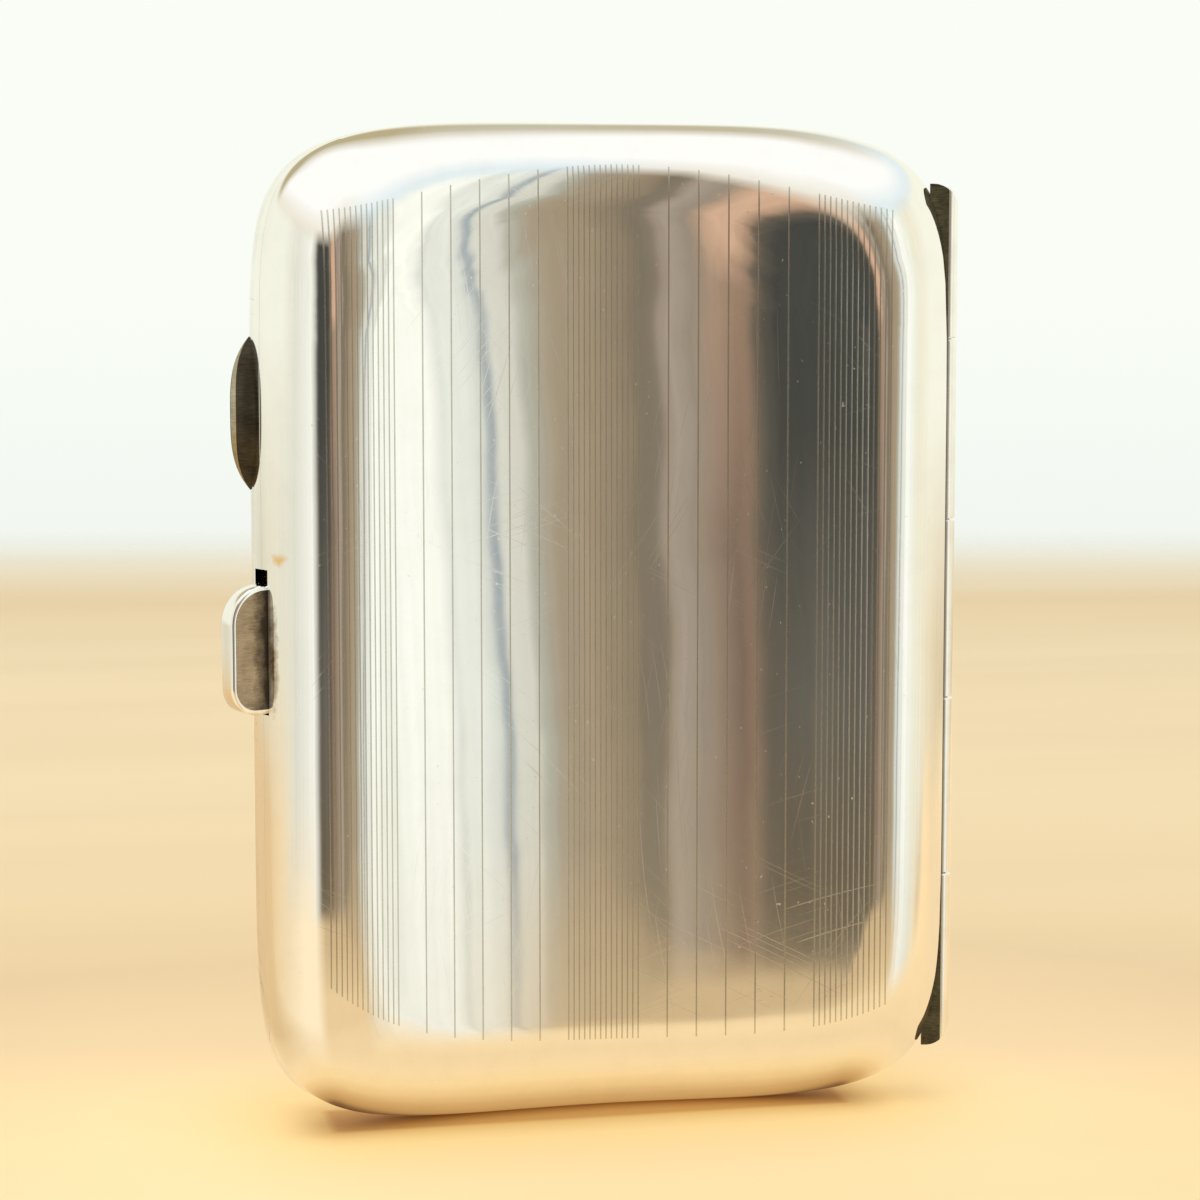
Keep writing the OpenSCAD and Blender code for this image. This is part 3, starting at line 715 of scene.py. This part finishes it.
# ---- pieces on the left wall
def left_place(x, w, z):
    """Point in the straight frame of the left wall: x inwards from the wall, w to the front."""
    along_w = np.array([math.sin(SIDE_ANGLE), -math.cos(SIDE_ANGLE), 0])
    x, w, z = (v[..., None] for v in np.broadcast_arrays(x, w, z))
    return bent(-HALF_W, 0.0, 0.0) + x * np.array(WALL_IN) + w * along_w + z * np.array([0, 0, 1.0])


def loft(name, sections, materials):
    """Closed skin through sections, each a closed row of points in millimetres."""
    m, n = len(sections[0]), len(sections)
    faces = []
    for p in range(0, (n - 1) * m, m):
        q = p + m
        faces += [[p + i, p + (i + 1) % m, q + (i + 1) % m, q + i] for i in range(m)]
    faces += [list(range(m))[::-1], [(n - 1) * m + i for i in range(m)]]
    ob = make_mesh(name, np.concatenate(sections), faces, materials)
    fix_winding(ob)
    return ob


def fix_winding(ob):
    """Turn all faces outwards."""
    bm = bmesh.new()
    bm.from_mesh(ob.data)
    bmesh.ops.recalc_face_normals(bm, faces=bm.faces)
    bm.to_mesh(ob.data)
    bm.free()


def join(name, obs):
    """One object from several, keeping their meshes."""
    first = obs[0]
    with bpy.context.temp_override(active_object=first, selected_editable_objects=obs):
        bpy.ops.object.join()
    first.name = name
    first.data.name = name
    return first


def rounded_outline(points, radii, steps):
    """Closed polygon with rounded corners. points are in order, radii one for each."""
    out = []
    n = len(points)
    for i in range(n):
        p0, p, p1 = (np.array(points[(i + k) % n], float) for k in (-1, 0, 1))
        r = radii[i]
        a, b = p0 - p, p1 - p
        a, b = a / np.linalg.norm(a), b / np.linalg.norm(b)
        half = math.acos(np.clip(a @ b, -1, 1)) / 2
        reach = r / math.tan(half)
        centre = p + (a + b) / np.linalg.norm(a + b) * (r / math.sin(half))
        s, e = p + a * reach - centre, p + b * reach - centre
        ang = math.acos(np.clip(s @ e / r / r, -1, 1))
        for t in np.linspace(0, 1, steps):
            arc = math.sin((1 - t) * ang) * s + math.sin(t * ang) * e
            out.append(centre + arc / math.sin(ang))
    return np.array(out)


def inset_closed(points, d):
    """A closed polygon moved inwards by d."""
    prev, nxt = np.roll(points, 1, 0), np.roll(points, -1, 0)
    area = (points[:, 0] * nxt[:, 1] - points[:, 1] * nxt[:, 0]).sum()
    t = nxt - prev
    t /= np.linalg.norm(t, axis=1, keepdims=True)
    return points + d * np.sign(area) * np.stack([-t[:, 1], t[:, 0]], 1)


def plate(name, outline, half, round_r, steps, flat_look, edge_look):
    """Plate with rounded edges in the left wall's frame. outline has rows of x and z."""
    sections = []
    for t in np.radians(np.linspace(-90, 90, 2 * steps + 1)):
        o = inset_closed(outline, round_r * (1 - math.cos(t)))
        w = -(half - round_r) * np.sign(t) - round_r * math.sin(t)
        sections.append(left_place(o[:, 0], w, o[:, 1]))
    ob = loft(name, sections, [edge_look, flat_look])
    for f in ob.data.polygons:
        if len(f.vertices) > 4:
            f.material_index = 1
            f.use_smooth = False
    return ob


# The thumb piece: a plate with round outer corners, and a thinner shank down to the slide bar
THUMB_IN, THUMB_ROUND, THUMB_LOW_R, THUMB_HIGH_R, THUMB_IN_R = 0.55, 0.42, 2.3, 3.2, 0.05
SHANK_OUT, SHANK_IN, SHANK_LOW, SHANK_HIGH = 0.4, BAR_X - 0.02, 37.8, 45.5
SHANK_LESS, SHANK_ROUND, SHANK_R = 0.25, 0.08, 0.1
thumb_outline = rounded_outline(
    [(-THUMB_REACH, 0.0), (-THUMB_REACH, THUMB_LEN), (THUMB_IN, THUMB_LEN), (THUMB_IN, 0.0)],
    [THUMB_LOW_R, THUMB_HIGH_R, THUMB_IN_R, THUMB_IN_R], steps=14)
thumb_outline[:, 1] += THUMB_Z
thumb = plate("thumb_plate", thumb_outline, THUMB_T / 2, THUMB_ROUND, 6, WORN_AND_SHADED, BRIGHT)
shank_outline = rounded_outline(
    [(SHANK_IN, SHANK_LOW), (SHANK_IN, SHANK_HIGH),
     (SHANK_OUT, SHANK_HIGH), (SHANK_OUT, SHANK_LOW)], [SHANK_R] * 4, steps=4)
shank = plate("thumb_shank", shank_outline, THUMB_T / 2 - SHANK_LESS, SHANK_ROUND, 2, WORN_AND_SHADED, WORN_AND_SHADED)
thumb = join("thumb_plate", [thumb, shank])
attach(thumb, "catch")
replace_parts(thumb, "thumb_piece")

# Lens-shaped boss on the back cover's wall, with fuller ends than the model's and a soft ridge
boss_steps, boss_across = 48, 33
boss_mid, boss_tip, boss_ridge, boss_fall = BOSS_R + 0.3 - LAND, 0.05, -0.4, 1.3
BOSS_WIDE_POWER, BOSS_HIGH_POWER = 2.6, 3.2
RIDGE_OFF, RIDGE_OVER, BOSS_SUNK, BOSS_PROUD = 0.10, 0.13, 0.05, 0.02
edge_arc = math.pi / 2 * math.hypot(EDGE, DEPTH - LAND) / math.sqrt(2)


def wall_point(z, v, lift):
    """Points lifted off the back cover's left wall, v along its skin past the straight land."""
    turn = np.radians(90 * np.maximum(0, v) / edge_arc)
    depth = np.where(v < 0, LAND + v, LAND + (DEPTH - LAND) * np.sin(turn))
    nu, nw = np.cos(turn) / EDGE, np.sin(turn) / (DEPTH - LAND)
    size = np.hypot(nu, nw)
    u = ring_u(z - HALF_H, EDGE * (1 - np.cos(turn)))
    return bent(-u - lift * nu / size, -(depth + lift * nw / size), z)


def boss_rise(s):
    """Share of the boss's height at s, from -1 at its front edge to 1 at its back edge."""
    front_side = (1 + s) / (1 + boss_ridge)
    t = np.clip((s - boss_ridge) / (1 - boss_ridge), 0, 1)
    rise = np.where(s < boss_ridge, front_side, 1 - t ** boss_fall)
    round_off = RIDGE_OFF * np.exp(-((s - boss_ridge) / RIDGE_OVER) ** 2)
    return np.maximum(rise - round_off, 0)


sections = []
s = np.linspace(-1, 1, boss_across)
for i in range(boss_steps + 1):
    t = math.sin((2 * i / boss_steps - 1) * math.pi / 2)
    z = BOSS_Z + t * BOSS_LEN / 2
    r = BOSS_R * (1 - abs(t) ** BOSS_WIDE_POWER) + boss_tip
    lift = BOSS_LIFT * (1 - abs(t) ** BOSS_HIGH_POWER)
    base = wall_point(z + 0 * s, boss_mid + s * r, -BOSS_SUNK)
    top = wall_point(z + 0 * s, boss_mid + s * r, BOSS_PROUD + lift * boss_rise(s))[::-1]
    sections.append(np.concatenate([base, top]))
# Its sides carry a painted dark reflection, its ridge wear and a painted highlight
boss = loft("wall_boss", sections, [BOSS_PAINTED_DARK, RIDGE_WEAR_AND_HIGHLIGHT])
ridge_at = int((boss_ridge + 1) / 2 * (boss_across - 1))
ridge_rows = [2 * boss_across - 2 - ridge_at + k for k in (-1, 0, 1)]
for f in boss.data.polygons:
    corners = [v % (2 * boss_across) for v in f.vertices]
    if len(corners) == 4 and min(corners) in ridge_rows:
        f.material_index = 1
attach(boss, "case_back")
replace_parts(boss, "thumb_boss")

# Return spring of the catch, which the catch squeezes as it slides up; the coil is built at one
# fixed length
spring_x, spring_w = BAR_X + BAR_T + 0.2, -1.3
SPRING_KEEP, TURN_STEPS, WIRE_SIDES = 0.838, 28, 10
sections = []
count = TURN_STEPS * TURNS
b = np.linspace(0, 2 * math.pi, WIRE_SIDES, endpoint=False)
out = SPRING_R + WIRE_R * np.cos(b)
for i in range(count + 1):
    a = 2 * math.pi * TURNS * i / count
    rise = WIRE_R + (SPRING_LEN - 2 * WIRE_R) * i / count
    sections.append(left_place(spring_x + out * math.cos(a), spring_w + out * math.sin(a),
                               SPRING_Z + rise + WIRE_R * np.sin(b)))
spring = loft("catch_coil", sections, [STEEL])
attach(spring, "case_back")
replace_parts(spring, "catch_spring")
spring_top = left_place(spring_x, spring_w, SPRING_Z + SPRING_LEN) * MM
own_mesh(spring)


# ---- elastic straps
WEB_T, WEB_RIBS, RIB_DEEP, WEB_EDGE, EDGE_THIN = 0.42, 13, 0.20, 0.15, 0.25
WEB_PLAY, WEB_CLEAR, WEB_FALL, WEB_START = 0.04, 0.2, 8.0, 2.2
# The turn round a loop's bar: start and sweep in degrees, and the sewn tail behind it
BAR_FROM, BAR_SWEEP, BAR_POINTS = -75, 230, 15
TAIL_AT, TAIL_STEP, TAIL_POINTS = (0.9, 0.36), (0.8, 0.06), 5


def strap(name, zc):
    """Ribbed elastic web that runs round the bar of the loop at each end and is sewn down."""
    loop_u = HALF_W - LOOP_IN
    rest = INNER_DEPTH - STRAP_T / 2 - WEB_CLEAR
    mid_r = LOOP_R + WEB_PLAY + WEB_T / 2
    us = np.linspace(-(loop_u - WEB_START), loop_u - WEB_START, 90)
    depth = LOOP_W + (rest - LOOP_W) * smooth_step((loop_u - np.abs(us)) / WEB_FALL)
    turns = np.radians(BAR_FROM + BAR_SWEEP * np.arange(BAR_POINTS) / (BAR_POINTS - 1))
    tail = np.arange(TAIL_POINTS)
    right = np.concatenate([
        np.stack([loop_u + mid_r * np.sin(turns), LOOP_W + mid_r * np.cos(turns)], 1),
        np.stack([loop_u - TAIL_AT[0] - TAIL_STEP[0] * tail,
                  LOOP_W - TAIL_AT[1] + TAIL_STEP[1] * tail], 1)])
    left = right[::-1] * (-1, 1)
    pts = np.concatenate([left, np.stack([us, depth], 1), right])
    d = np.gradient(pts, axis=0)
    d /= np.linalg.norm(d, axis=1, keepdims=True)
    nrm = np.stack([-d[:, 1], d[:, 0]], 1)
    z = np.linspace(-STRAP_W / 2, STRAP_W / 2, WEB_RIBS * 6 + 1)
    wave = np.abs(np.sin(np.pi * (z / STRAP_W + 0.5) * WEB_RIBS))
    edge = np.clip((STRAP_W / 2 - np.abs(z)) / WEB_EDGE, 0, 1) ** 0.5
    half = WEB_T / 2 * (1 - RIB_DEEP + RIB_DEEP * wave) * np.maximum(edge, EDGE_THIN)
    sections = []
    for p, q in zip(pts, nrm):
        a = bent(p[0] + q[0] * half, p[1] + q[1] * half, zc + z)
        b = bent(p[0] - q[0] * half, p[1] - q[1] * half, zc + z)[::-1]
        sections.append(np.concatenate([a, b]))
    ob = loft(name, sections, [ELASTIC])
    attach(ob, "case_front")
    return ob


for name, node, z in (("lower_web", "lower_strap", STRAP_INSET),
                      ("upper_web", "upper_strap", 2 * HALF_H - STRAP_INSET)):
    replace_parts(strap(name, z), node)

# ---- looks of the model's own pieces
# The hinge bearers get a dark tone of painted shade
looks = {"front_bearer": BEARER_PAINTED_SHADE, "back_bearer": BEARER_PAINTED_SHADE, "hinge_pin": STEEL}
looks.update({"knuckle_" + k: KNUCKLE for k in ("top", "upper", "middle", "lower", "bottom")})
looks.update(dict.fromkeys((
    "rim_bezel", "thumb_rivets", "slide_bar", "upper_guide", "lower_guide", "spring_stop",
    "upper_keeper", "lower_keeper", "upper_strap_loops", "lower_strap_loops"), GILT))
for node, material in looks.items():
    ob = frame["nodes"][node]
    ob.data.materials.clear()
    ob.data.materials.append(material)

# ---- table
YAW, LOOK_DOWN, ROLL = 0.216781, 0.106965, -0.00026
TABLE_FRONT, TABLE_BACK, TABLE_SIDE = -70, 620, 300
c, d = math.cos(YAW) * MM, math.sin(YAW) * MM
table_corners = [(x * c + y * d, y * c - x * d, 0) for x, y in (
    (-TABLE_SIDE, TABLE_FRONT), (TABLE_SIDE, TABLE_FRONT),
    (TABLE_SIDE, TABLE_BACK), (-TABLE_SIDE, TABLE_BACK))]
floor = bpy.data.meshes.new("table_top")
floor.from_pydata(table_corners, [], [(0, 1, 2, 3)])
floor = bpy.data.objects.new("table_top", floor)
bpy.context.scene.collection.objects.link(floor)
# Tones of the table top by the distance behind the case, in millimetres
TABLE_TONES = [
    (-30, (250, 222, 170)), (0, (246, 216, 163)), (20, (238, 209, 162)), (45, (237, 209, 163)),
    (95, (243, 219, 173)), (160, (245, 222, 178)), (255, (245, 223, 181)), (323, (243, 222, 180)),
    (405, (236, 213, 169)), (467, (238, 220, 182)), (620, (243, 240, 222))]
# The same near the foot, by the distance from it: a soft contact shadow
FOOT_TONES = [
    (0, (222, 168, 94)), (0.88, (248, 206, 130)), (3.08, (253, 216, 144)),
    (9.9, (252, 219, 154)), (22, (253, 224, 170))]
# Painted reflection: tones the table glows with in the case's mirror, with a painted dark shadow at
# the foot, by the distance from the bent middle line of its foot
PAINTED_REFLECTION_TONES = [
    (0, (92, 56, 20)), (1.1, (124, 82, 34)), (1.8, (182, 132, 68)), (2.8, (204, 157, 90)),
    (4, (232, 190, 122)), (5.4, (248, 211, 146)), (7.4, (249, 216, 160)), (12, (233, 205, 158)),
    (20, (244, 216, 168))]
FOOT_X, FOOT_Y = 22.0, 3.0
MIRROR_LIGHT = 1.06
m, n, s, place = new_material("pale_table")
sideways, away, _ = n.parts(n.mapping(place, rotation=(0, 0, YAW)))
grain = n.noise(n.mapping(place, scale=(0.004, 0.03, 1)), 1.0, 3.0)
table_tone = n.mix(n.span(grain, 0.35, 0.7, 0.0, 0.16), n.tones(away, TABLE_TONES),
                   srgb(214, 188, 144))
table_x, table_y, _ = n.parts(place)
past_x = n.most(n.less(n.math("ABSOLUTE", table_x), FOOT_X), 0.0)
past_y = n.most(n.less(n.math("ABSOLUTE", table_y), FOOT_Y), 0.0)
from_foot = n.length(past_x, past_y)
tone = n.mix(n.span(from_foot, 0.0, FOOT_TONES[-1][0]), n.tones(from_foot, FOOT_TONES), table_tone)
# The polished case shows the table evenly lit: in glossy rays it glows with painted tones instead
# of being lit, and near the foot a little painted glow lifts it
mirrored = n.new("ShaderNodeLightPath")["Is Glossy Ray"]
from_axis = n.vector_math("LENGTH", n.mapping(place, location=(-SHIFT_X, BEND - SHIFT_Y, 0)))
off_foot = n.length(n.math("ABSOLUTE", n.less(from_axis, BEND)), past_x)
painted_reflection = n.mix(n.span(off_foot, 0.0, PAINTED_REFLECTION_TONES[-1][0]), n.tones(off_foot, PAINTED_REFLECTION_TONES),
                  table_tone)
# Left of the case the painted reflection turns darker and browner
painted_reflection = n.mix(n.span(table_x, -31.0, -42.0, 0.0, 0.75), painted_reflection, srgb(208, 174, 122))
painted_glow = n.spans((from_foot, 0.5, 5.0), (from_foot, 60.0, 20.0, 0.0, 0.2))
# It fades out in front, behind and at both sides
near_end = n.less(away, n.times(mirrored, 15.0))
shown = n.spans((near_end, -42.0, -29.0), (away, 600.0, 420.0),
                (n.math("ABSOLUTE", sideways), 260.0, 170.0))
# Glossy rays see only the glow of the painted reflection; camera rays see the lit table and the
# painted glow
n.put(s, {"Base Color": n.mix(mirrored, tone, (0, 0, 0, 1)), "Roughness": 0.7, "Alpha": shown,
          "Emission Color": n.mix(mirrored, tone, painted_reflection),
          "Emission Strength": n.most(n.times(mirrored, MIRROR_LIGHT), painted_glow)})
floor.data.materials.append(m)

# ---- surroundings
# Upright bands of the room that the hollow face shows. All places here are angles in degrees:
# azimuth to the right of the viewer's side, and elevation
BANDS_LEFT = [
    (-180, (232, 228, 212)), (-125, (218, 214, 192)), (-95, (229, 223, 201)),
    (-64, (227, 224, 206)), (-52, (223, 222, 207)), (-42, (230, 231, 219)),
    (-32, (238, 239, 228)), (-28, (244, 244, 234)), (-24, (204, 203, 194)),
    (-20.8, (134, 131, 123)), (-18.8, (100, 96, 87)), (-16.4, (98, 94, 85)),
    (-13, (106, 102, 92)), (-8, (97, 92, 81)), (-6.4, (104, 95, 82)), (-5.2, (136, 116, 97)),
    (-4.2, (134, 112, 94)), (-3.4, (124, 105, 89)), (-2, (136, 117, 100)), (-0.6, (147, 129, 111)),
    (0.9, (149, 136, 120)), (2.3, (155, 143, 127)), (3.8, (167, 154, 138)), (5.2, (158, 144, 127)),
    (6, (130, 119, 102))]
BANDS_RIGHT = [
    (6, (130, 119, 102)), (8.2, (124, 115, 98)), (9.2, (139, 125, 104)), (11.1, (148, 133, 110)),
    (14.1, (163, 146, 121)), (17, (161, 147, 124)), (18.5, (169, 155, 132)),
    (19.6, (170, 163, 146)), (20.6, (177, 177, 162)), (21.6, (186, 186, 172)),
    (22.2, (209, 207, 194)),
    (24.4, (217, 217, 204)), (25.2, (212, 213, 202)), (25.7, (156, 166, 170)),
    (26.3, (166, 175, 177)), (26.9, (215, 218, 208)), (28.9, (230, 233, 224)),
    (31.4, (228, 231, 220)), (32.2, (216, 221, 211)), (32.8, (250, 251, 241)),
    (36.6, (250, 252, 242)), (41, (242, 245, 234)), (50, (238, 236, 216)), (62, (238, 231, 207)),
    (79, (232, 218, 186)), (93, (225, 208, 173)), (112, (220, 201, 167)), (150, (196, 186, 156)),
    (180, (232, 228, 212))]
# What a camera sees behind the table
BACKDROP = [
    (-7, (238, 234, 214)), (-5.6, (239, 238, 220)), (-5.11, (241, 247, 240)),
    (-2.66, (246, 251, 244)), (0, (250, 253, 246))]
LEAN_AT, TABLE_EDGE = -6.7, -12.7
DEGREES = 180 / math.pi
world = bpy.data.worlds.new("studio")
bpy.context.scene.world = world
world.use_nodes = True
n = Nodes(world.node_tree)
n.nodes.clear()
direction = n.new("ShaderNodeTexCoord")["Generated"]
to_x, to_y, to_z = n.parts(direction)
azimuth = n.times(n.math("ARCTAN2", to_x, n.times(to_y, -1.0)), DEGREES)
elevation = n.times(n.math("ARCSINE", to_z), DEGREES)
# The bands lean and waver a little
over = n.less(elevation, LEAN_AT)
lean = n.times(n.span(azimuth, 0.0, 25.0, 0.1, 0.33), over,
               n.span(n.math("ABSOLUTE", over), 30.0, 12.0))
quick = n.noise(n.mapping(direction, scale=(1.0, 1.0, 13)), 2.2, 3.0, 0.55)
slow = n.noise(n.mapping(direction, scale=(1.0, 1.0, 5), location=(4, 2, 7)), 2.0, 2.0)
sway = n.add(n.times(n.less(quick, 0.5), 3.2), n.times(n.less(slow, 0.5), 2.6))
sway = n.times(sway, n.span(elevation, 16.0, 3.0, 0.15, 1.0))
across = n.add(n.less(azimuth, lean), sway)
bands = n.mix(n.math("GREATER_THAN", across, BANDS_RIGHT[0][0]), n.tones(across, BANDS_LEFT),
              n.tones(across, BANDS_RIGHT))


def paint(under, strength, tone, *spans, within=1.0):
    """A tone over the picture below, where all the spans are full."""
    mask = n.times(n.spans(*spans), within, strength)
    return n.mix(mask, under, srgb(*tone))


# A copper glow between the grey and the charcoal band, strongest in the upper part
glow = n.most(n.span(elevation, 0.0, 6.0), n.span(elevation, -5.0, -1.0, 0.0, 0.3))
bands = paint(bands, 0.85, (218, 180, 150), (across, -6.0, -3.5), (across, 1.5, -1.0), within=glow)
# The charcoal band is darker, and brown at its foot
charcoal = ((across, -6.0, -9.0), (across, -21.5, -18.5))
bands = paint(bands, 0.85, (62, 64, 60), *charcoal, (elevation, -8.0, -3.0))
bands = paint(bands, 0.5, (74, 62, 46), *charcoal, (elevation, -8.0, -11.0))
streak_at = n.vector(across, n.times(elevation, 0.04))
streaks = n.span(n.noise(streak_at, 1.4, 3.0, 0.6), 0.3, 0.7, 0.93, 1.08)
bands = n.mix(1.0, bands, n.vector(streaks, streaks, streaks), "MULTIPLY")
# Pale at both sides, and warm towards the table
bands = paint(bands, 1.0, (246, 246, 230), (azimuth, 55.0, 75.0), (elevation, -7.0, -2.5))
bands = paint(bands, 0.8, (246, 248, 234), (azimuth, -45.0, -65.0), (elevation, -5.0, 0.0))
bands = paint(bands, 0.2, (196, 172, 130), (elevation, -8.0, -14.0))
# Below the room: the near part of the table, with glare at both sides
below = n.mix(n.span(elevation, -22.0, -14.0), srgb(232, 204, 156), srgb(208, 181, 138))
below = paint(below, 1.0, (227, 197, 146), (azimuth, -45.0, -75.0))
glare = n.most(n.spans((azimuth, -16.0, -28.0), (azimuth, -100.0, -45.0)),
               n.spans((azimuth, 20.0, 27.0), (azimuth, 64.0, 50.0)))
below = n.mix(glare, below, srgb(254, 235, 198))
# Its far edge is crisp on the left and soft on the right, and higher at the sides
edge_soft = n.span(azimuth, 4.0, 14.0, 0.35, 2.2)
drop = n.math("DIVIDE", n.math("SUBTRACT", TABLE_EDGE, elevation), edge_soft)
sides = n.most(n.span(azimuth, 48.0, 60.0), n.span(azimuth, -22.0, -34.0))
drop = n.most(n.spans((drop, -1.0, 1.0), (azimuth, 33.0, 18.0)), n.span(elevation, -29.0, -38.0),
              n.times(sides, n.span(elevation, -9.5, -13.0)),
              n.spans((azimuth, -52.0, -72.0), (elevation, -6.5, -10.5)))
seen = n.mix(drop, bands, below)
# Above the room: a bright ceiling, and the dull wall behind the case
rising = n.less(elevation, n.span(azimuth, -8.0, 8.0, 38.0, 47.0))
near_edge = n.mix(n.span(azimuth, 8.0, 26.0), srgb(232, 226, 210), srgb(218, 234, 240))
ceiling = n.mix(n.span(rising, 0.0, 16.0), near_edge, srgb(254, 255, 252))
ceiling = paint(ceiling, 1.0, (184, 172, 136), (to_y, 0.05, 0.3), (elevation, 12.0, 20.0),
                (elevation, 76.0, 60.0), (to_x, 0.5, 0.15))
seen = n.mix(n.span(rising, -5.0, 4.0), seen, ceiling)


def background(color, strength):
    return n.new("ShaderNodeBackground", dict(Color=color, Strength=strength))[0]


def shader_mix(*inputs):
    return n.new("ShaderNodeMixShader", enumerate(inputs))[0]


rays = n.new("ShaderNodeLightPath")
lit = shader_mix(rays["Is Glossy Ray"], background((1.0, 0.985, 0.95, 1.0), 0.8),
                 background(seen, MIRROR_LIGHT))
lit = shader_mix(rays["Is Camera Ray"], lit, background(n.tones(elevation, BACKDROP), 1.0))
n.new("ShaderNodeOutputWorld", {0: lit})

# ---- light and camera
LAMP_AT, LAMP_AIM, LAMP_SIZE, LAMP_WATTS = (-0.15, -0.2, 0.88), (0, 0, 0.03), (1.0, 0.9), 2.9
lamp = bpy.data.lights.new("softbox", "AREA")
lamp.shape = "RECTANGLE"
lamp.size, lamp.size_y = LAMP_SIZE
lamp.energy = LAMP_WATTS
lamp_ob = bpy.data.objects.new("softbox", lamp)
lamp_ob.location = LAMP_AT
lamp_ob.rotation_euler = (Vector(LAMP_AIM) - lamp_ob.location).to_track_quat("-Z", "Y").to_euler()
lamp_ob.visible_glossy = False
bpy.context.scene.collection.objects.link(lamp_ob)

F_PIXELS, IMAGE = 3137.8, 1200
CAMERA_AT = (-56.117, -259.998, 72.773)
camera = bpy.data.cameras.new("camera")
camera.sensor_width = 36.0
camera.lens = F_PIXELS / IMAGE * camera.sensor_width
camera.clip_start, camera.clip_end = 0.01, 10
camera_ob = bpy.data.objects.new("camera", camera)
bpy.context.scene.collection.objects.link(camera_ob)
back_dir = Vector((-math.sin(YAW) * math.cos(LOOK_DOWN), -math.cos(YAW) * math.cos(LOOK_DOWN),
                   math.sin(LOOK_DOWN)))
right_dir = (-back_dir).cross(Vector((0, 0, 1))).normalized()
up_dir = right_dir.cross(-back_dir)
turn = Matrix((right_dir, up_dir, back_dir)).transposed().to_4x4()
camera_ob.matrix_world = (Matrix.Translation(Vector(CAMERA_AT) * MM) @ turn
                          @ Matrix.Rotation(ROLL, 4, "Z"))
bpy.context.scene.camera = camera_ob
bpy.context.scene.view_settings.view_transform = "Standard"
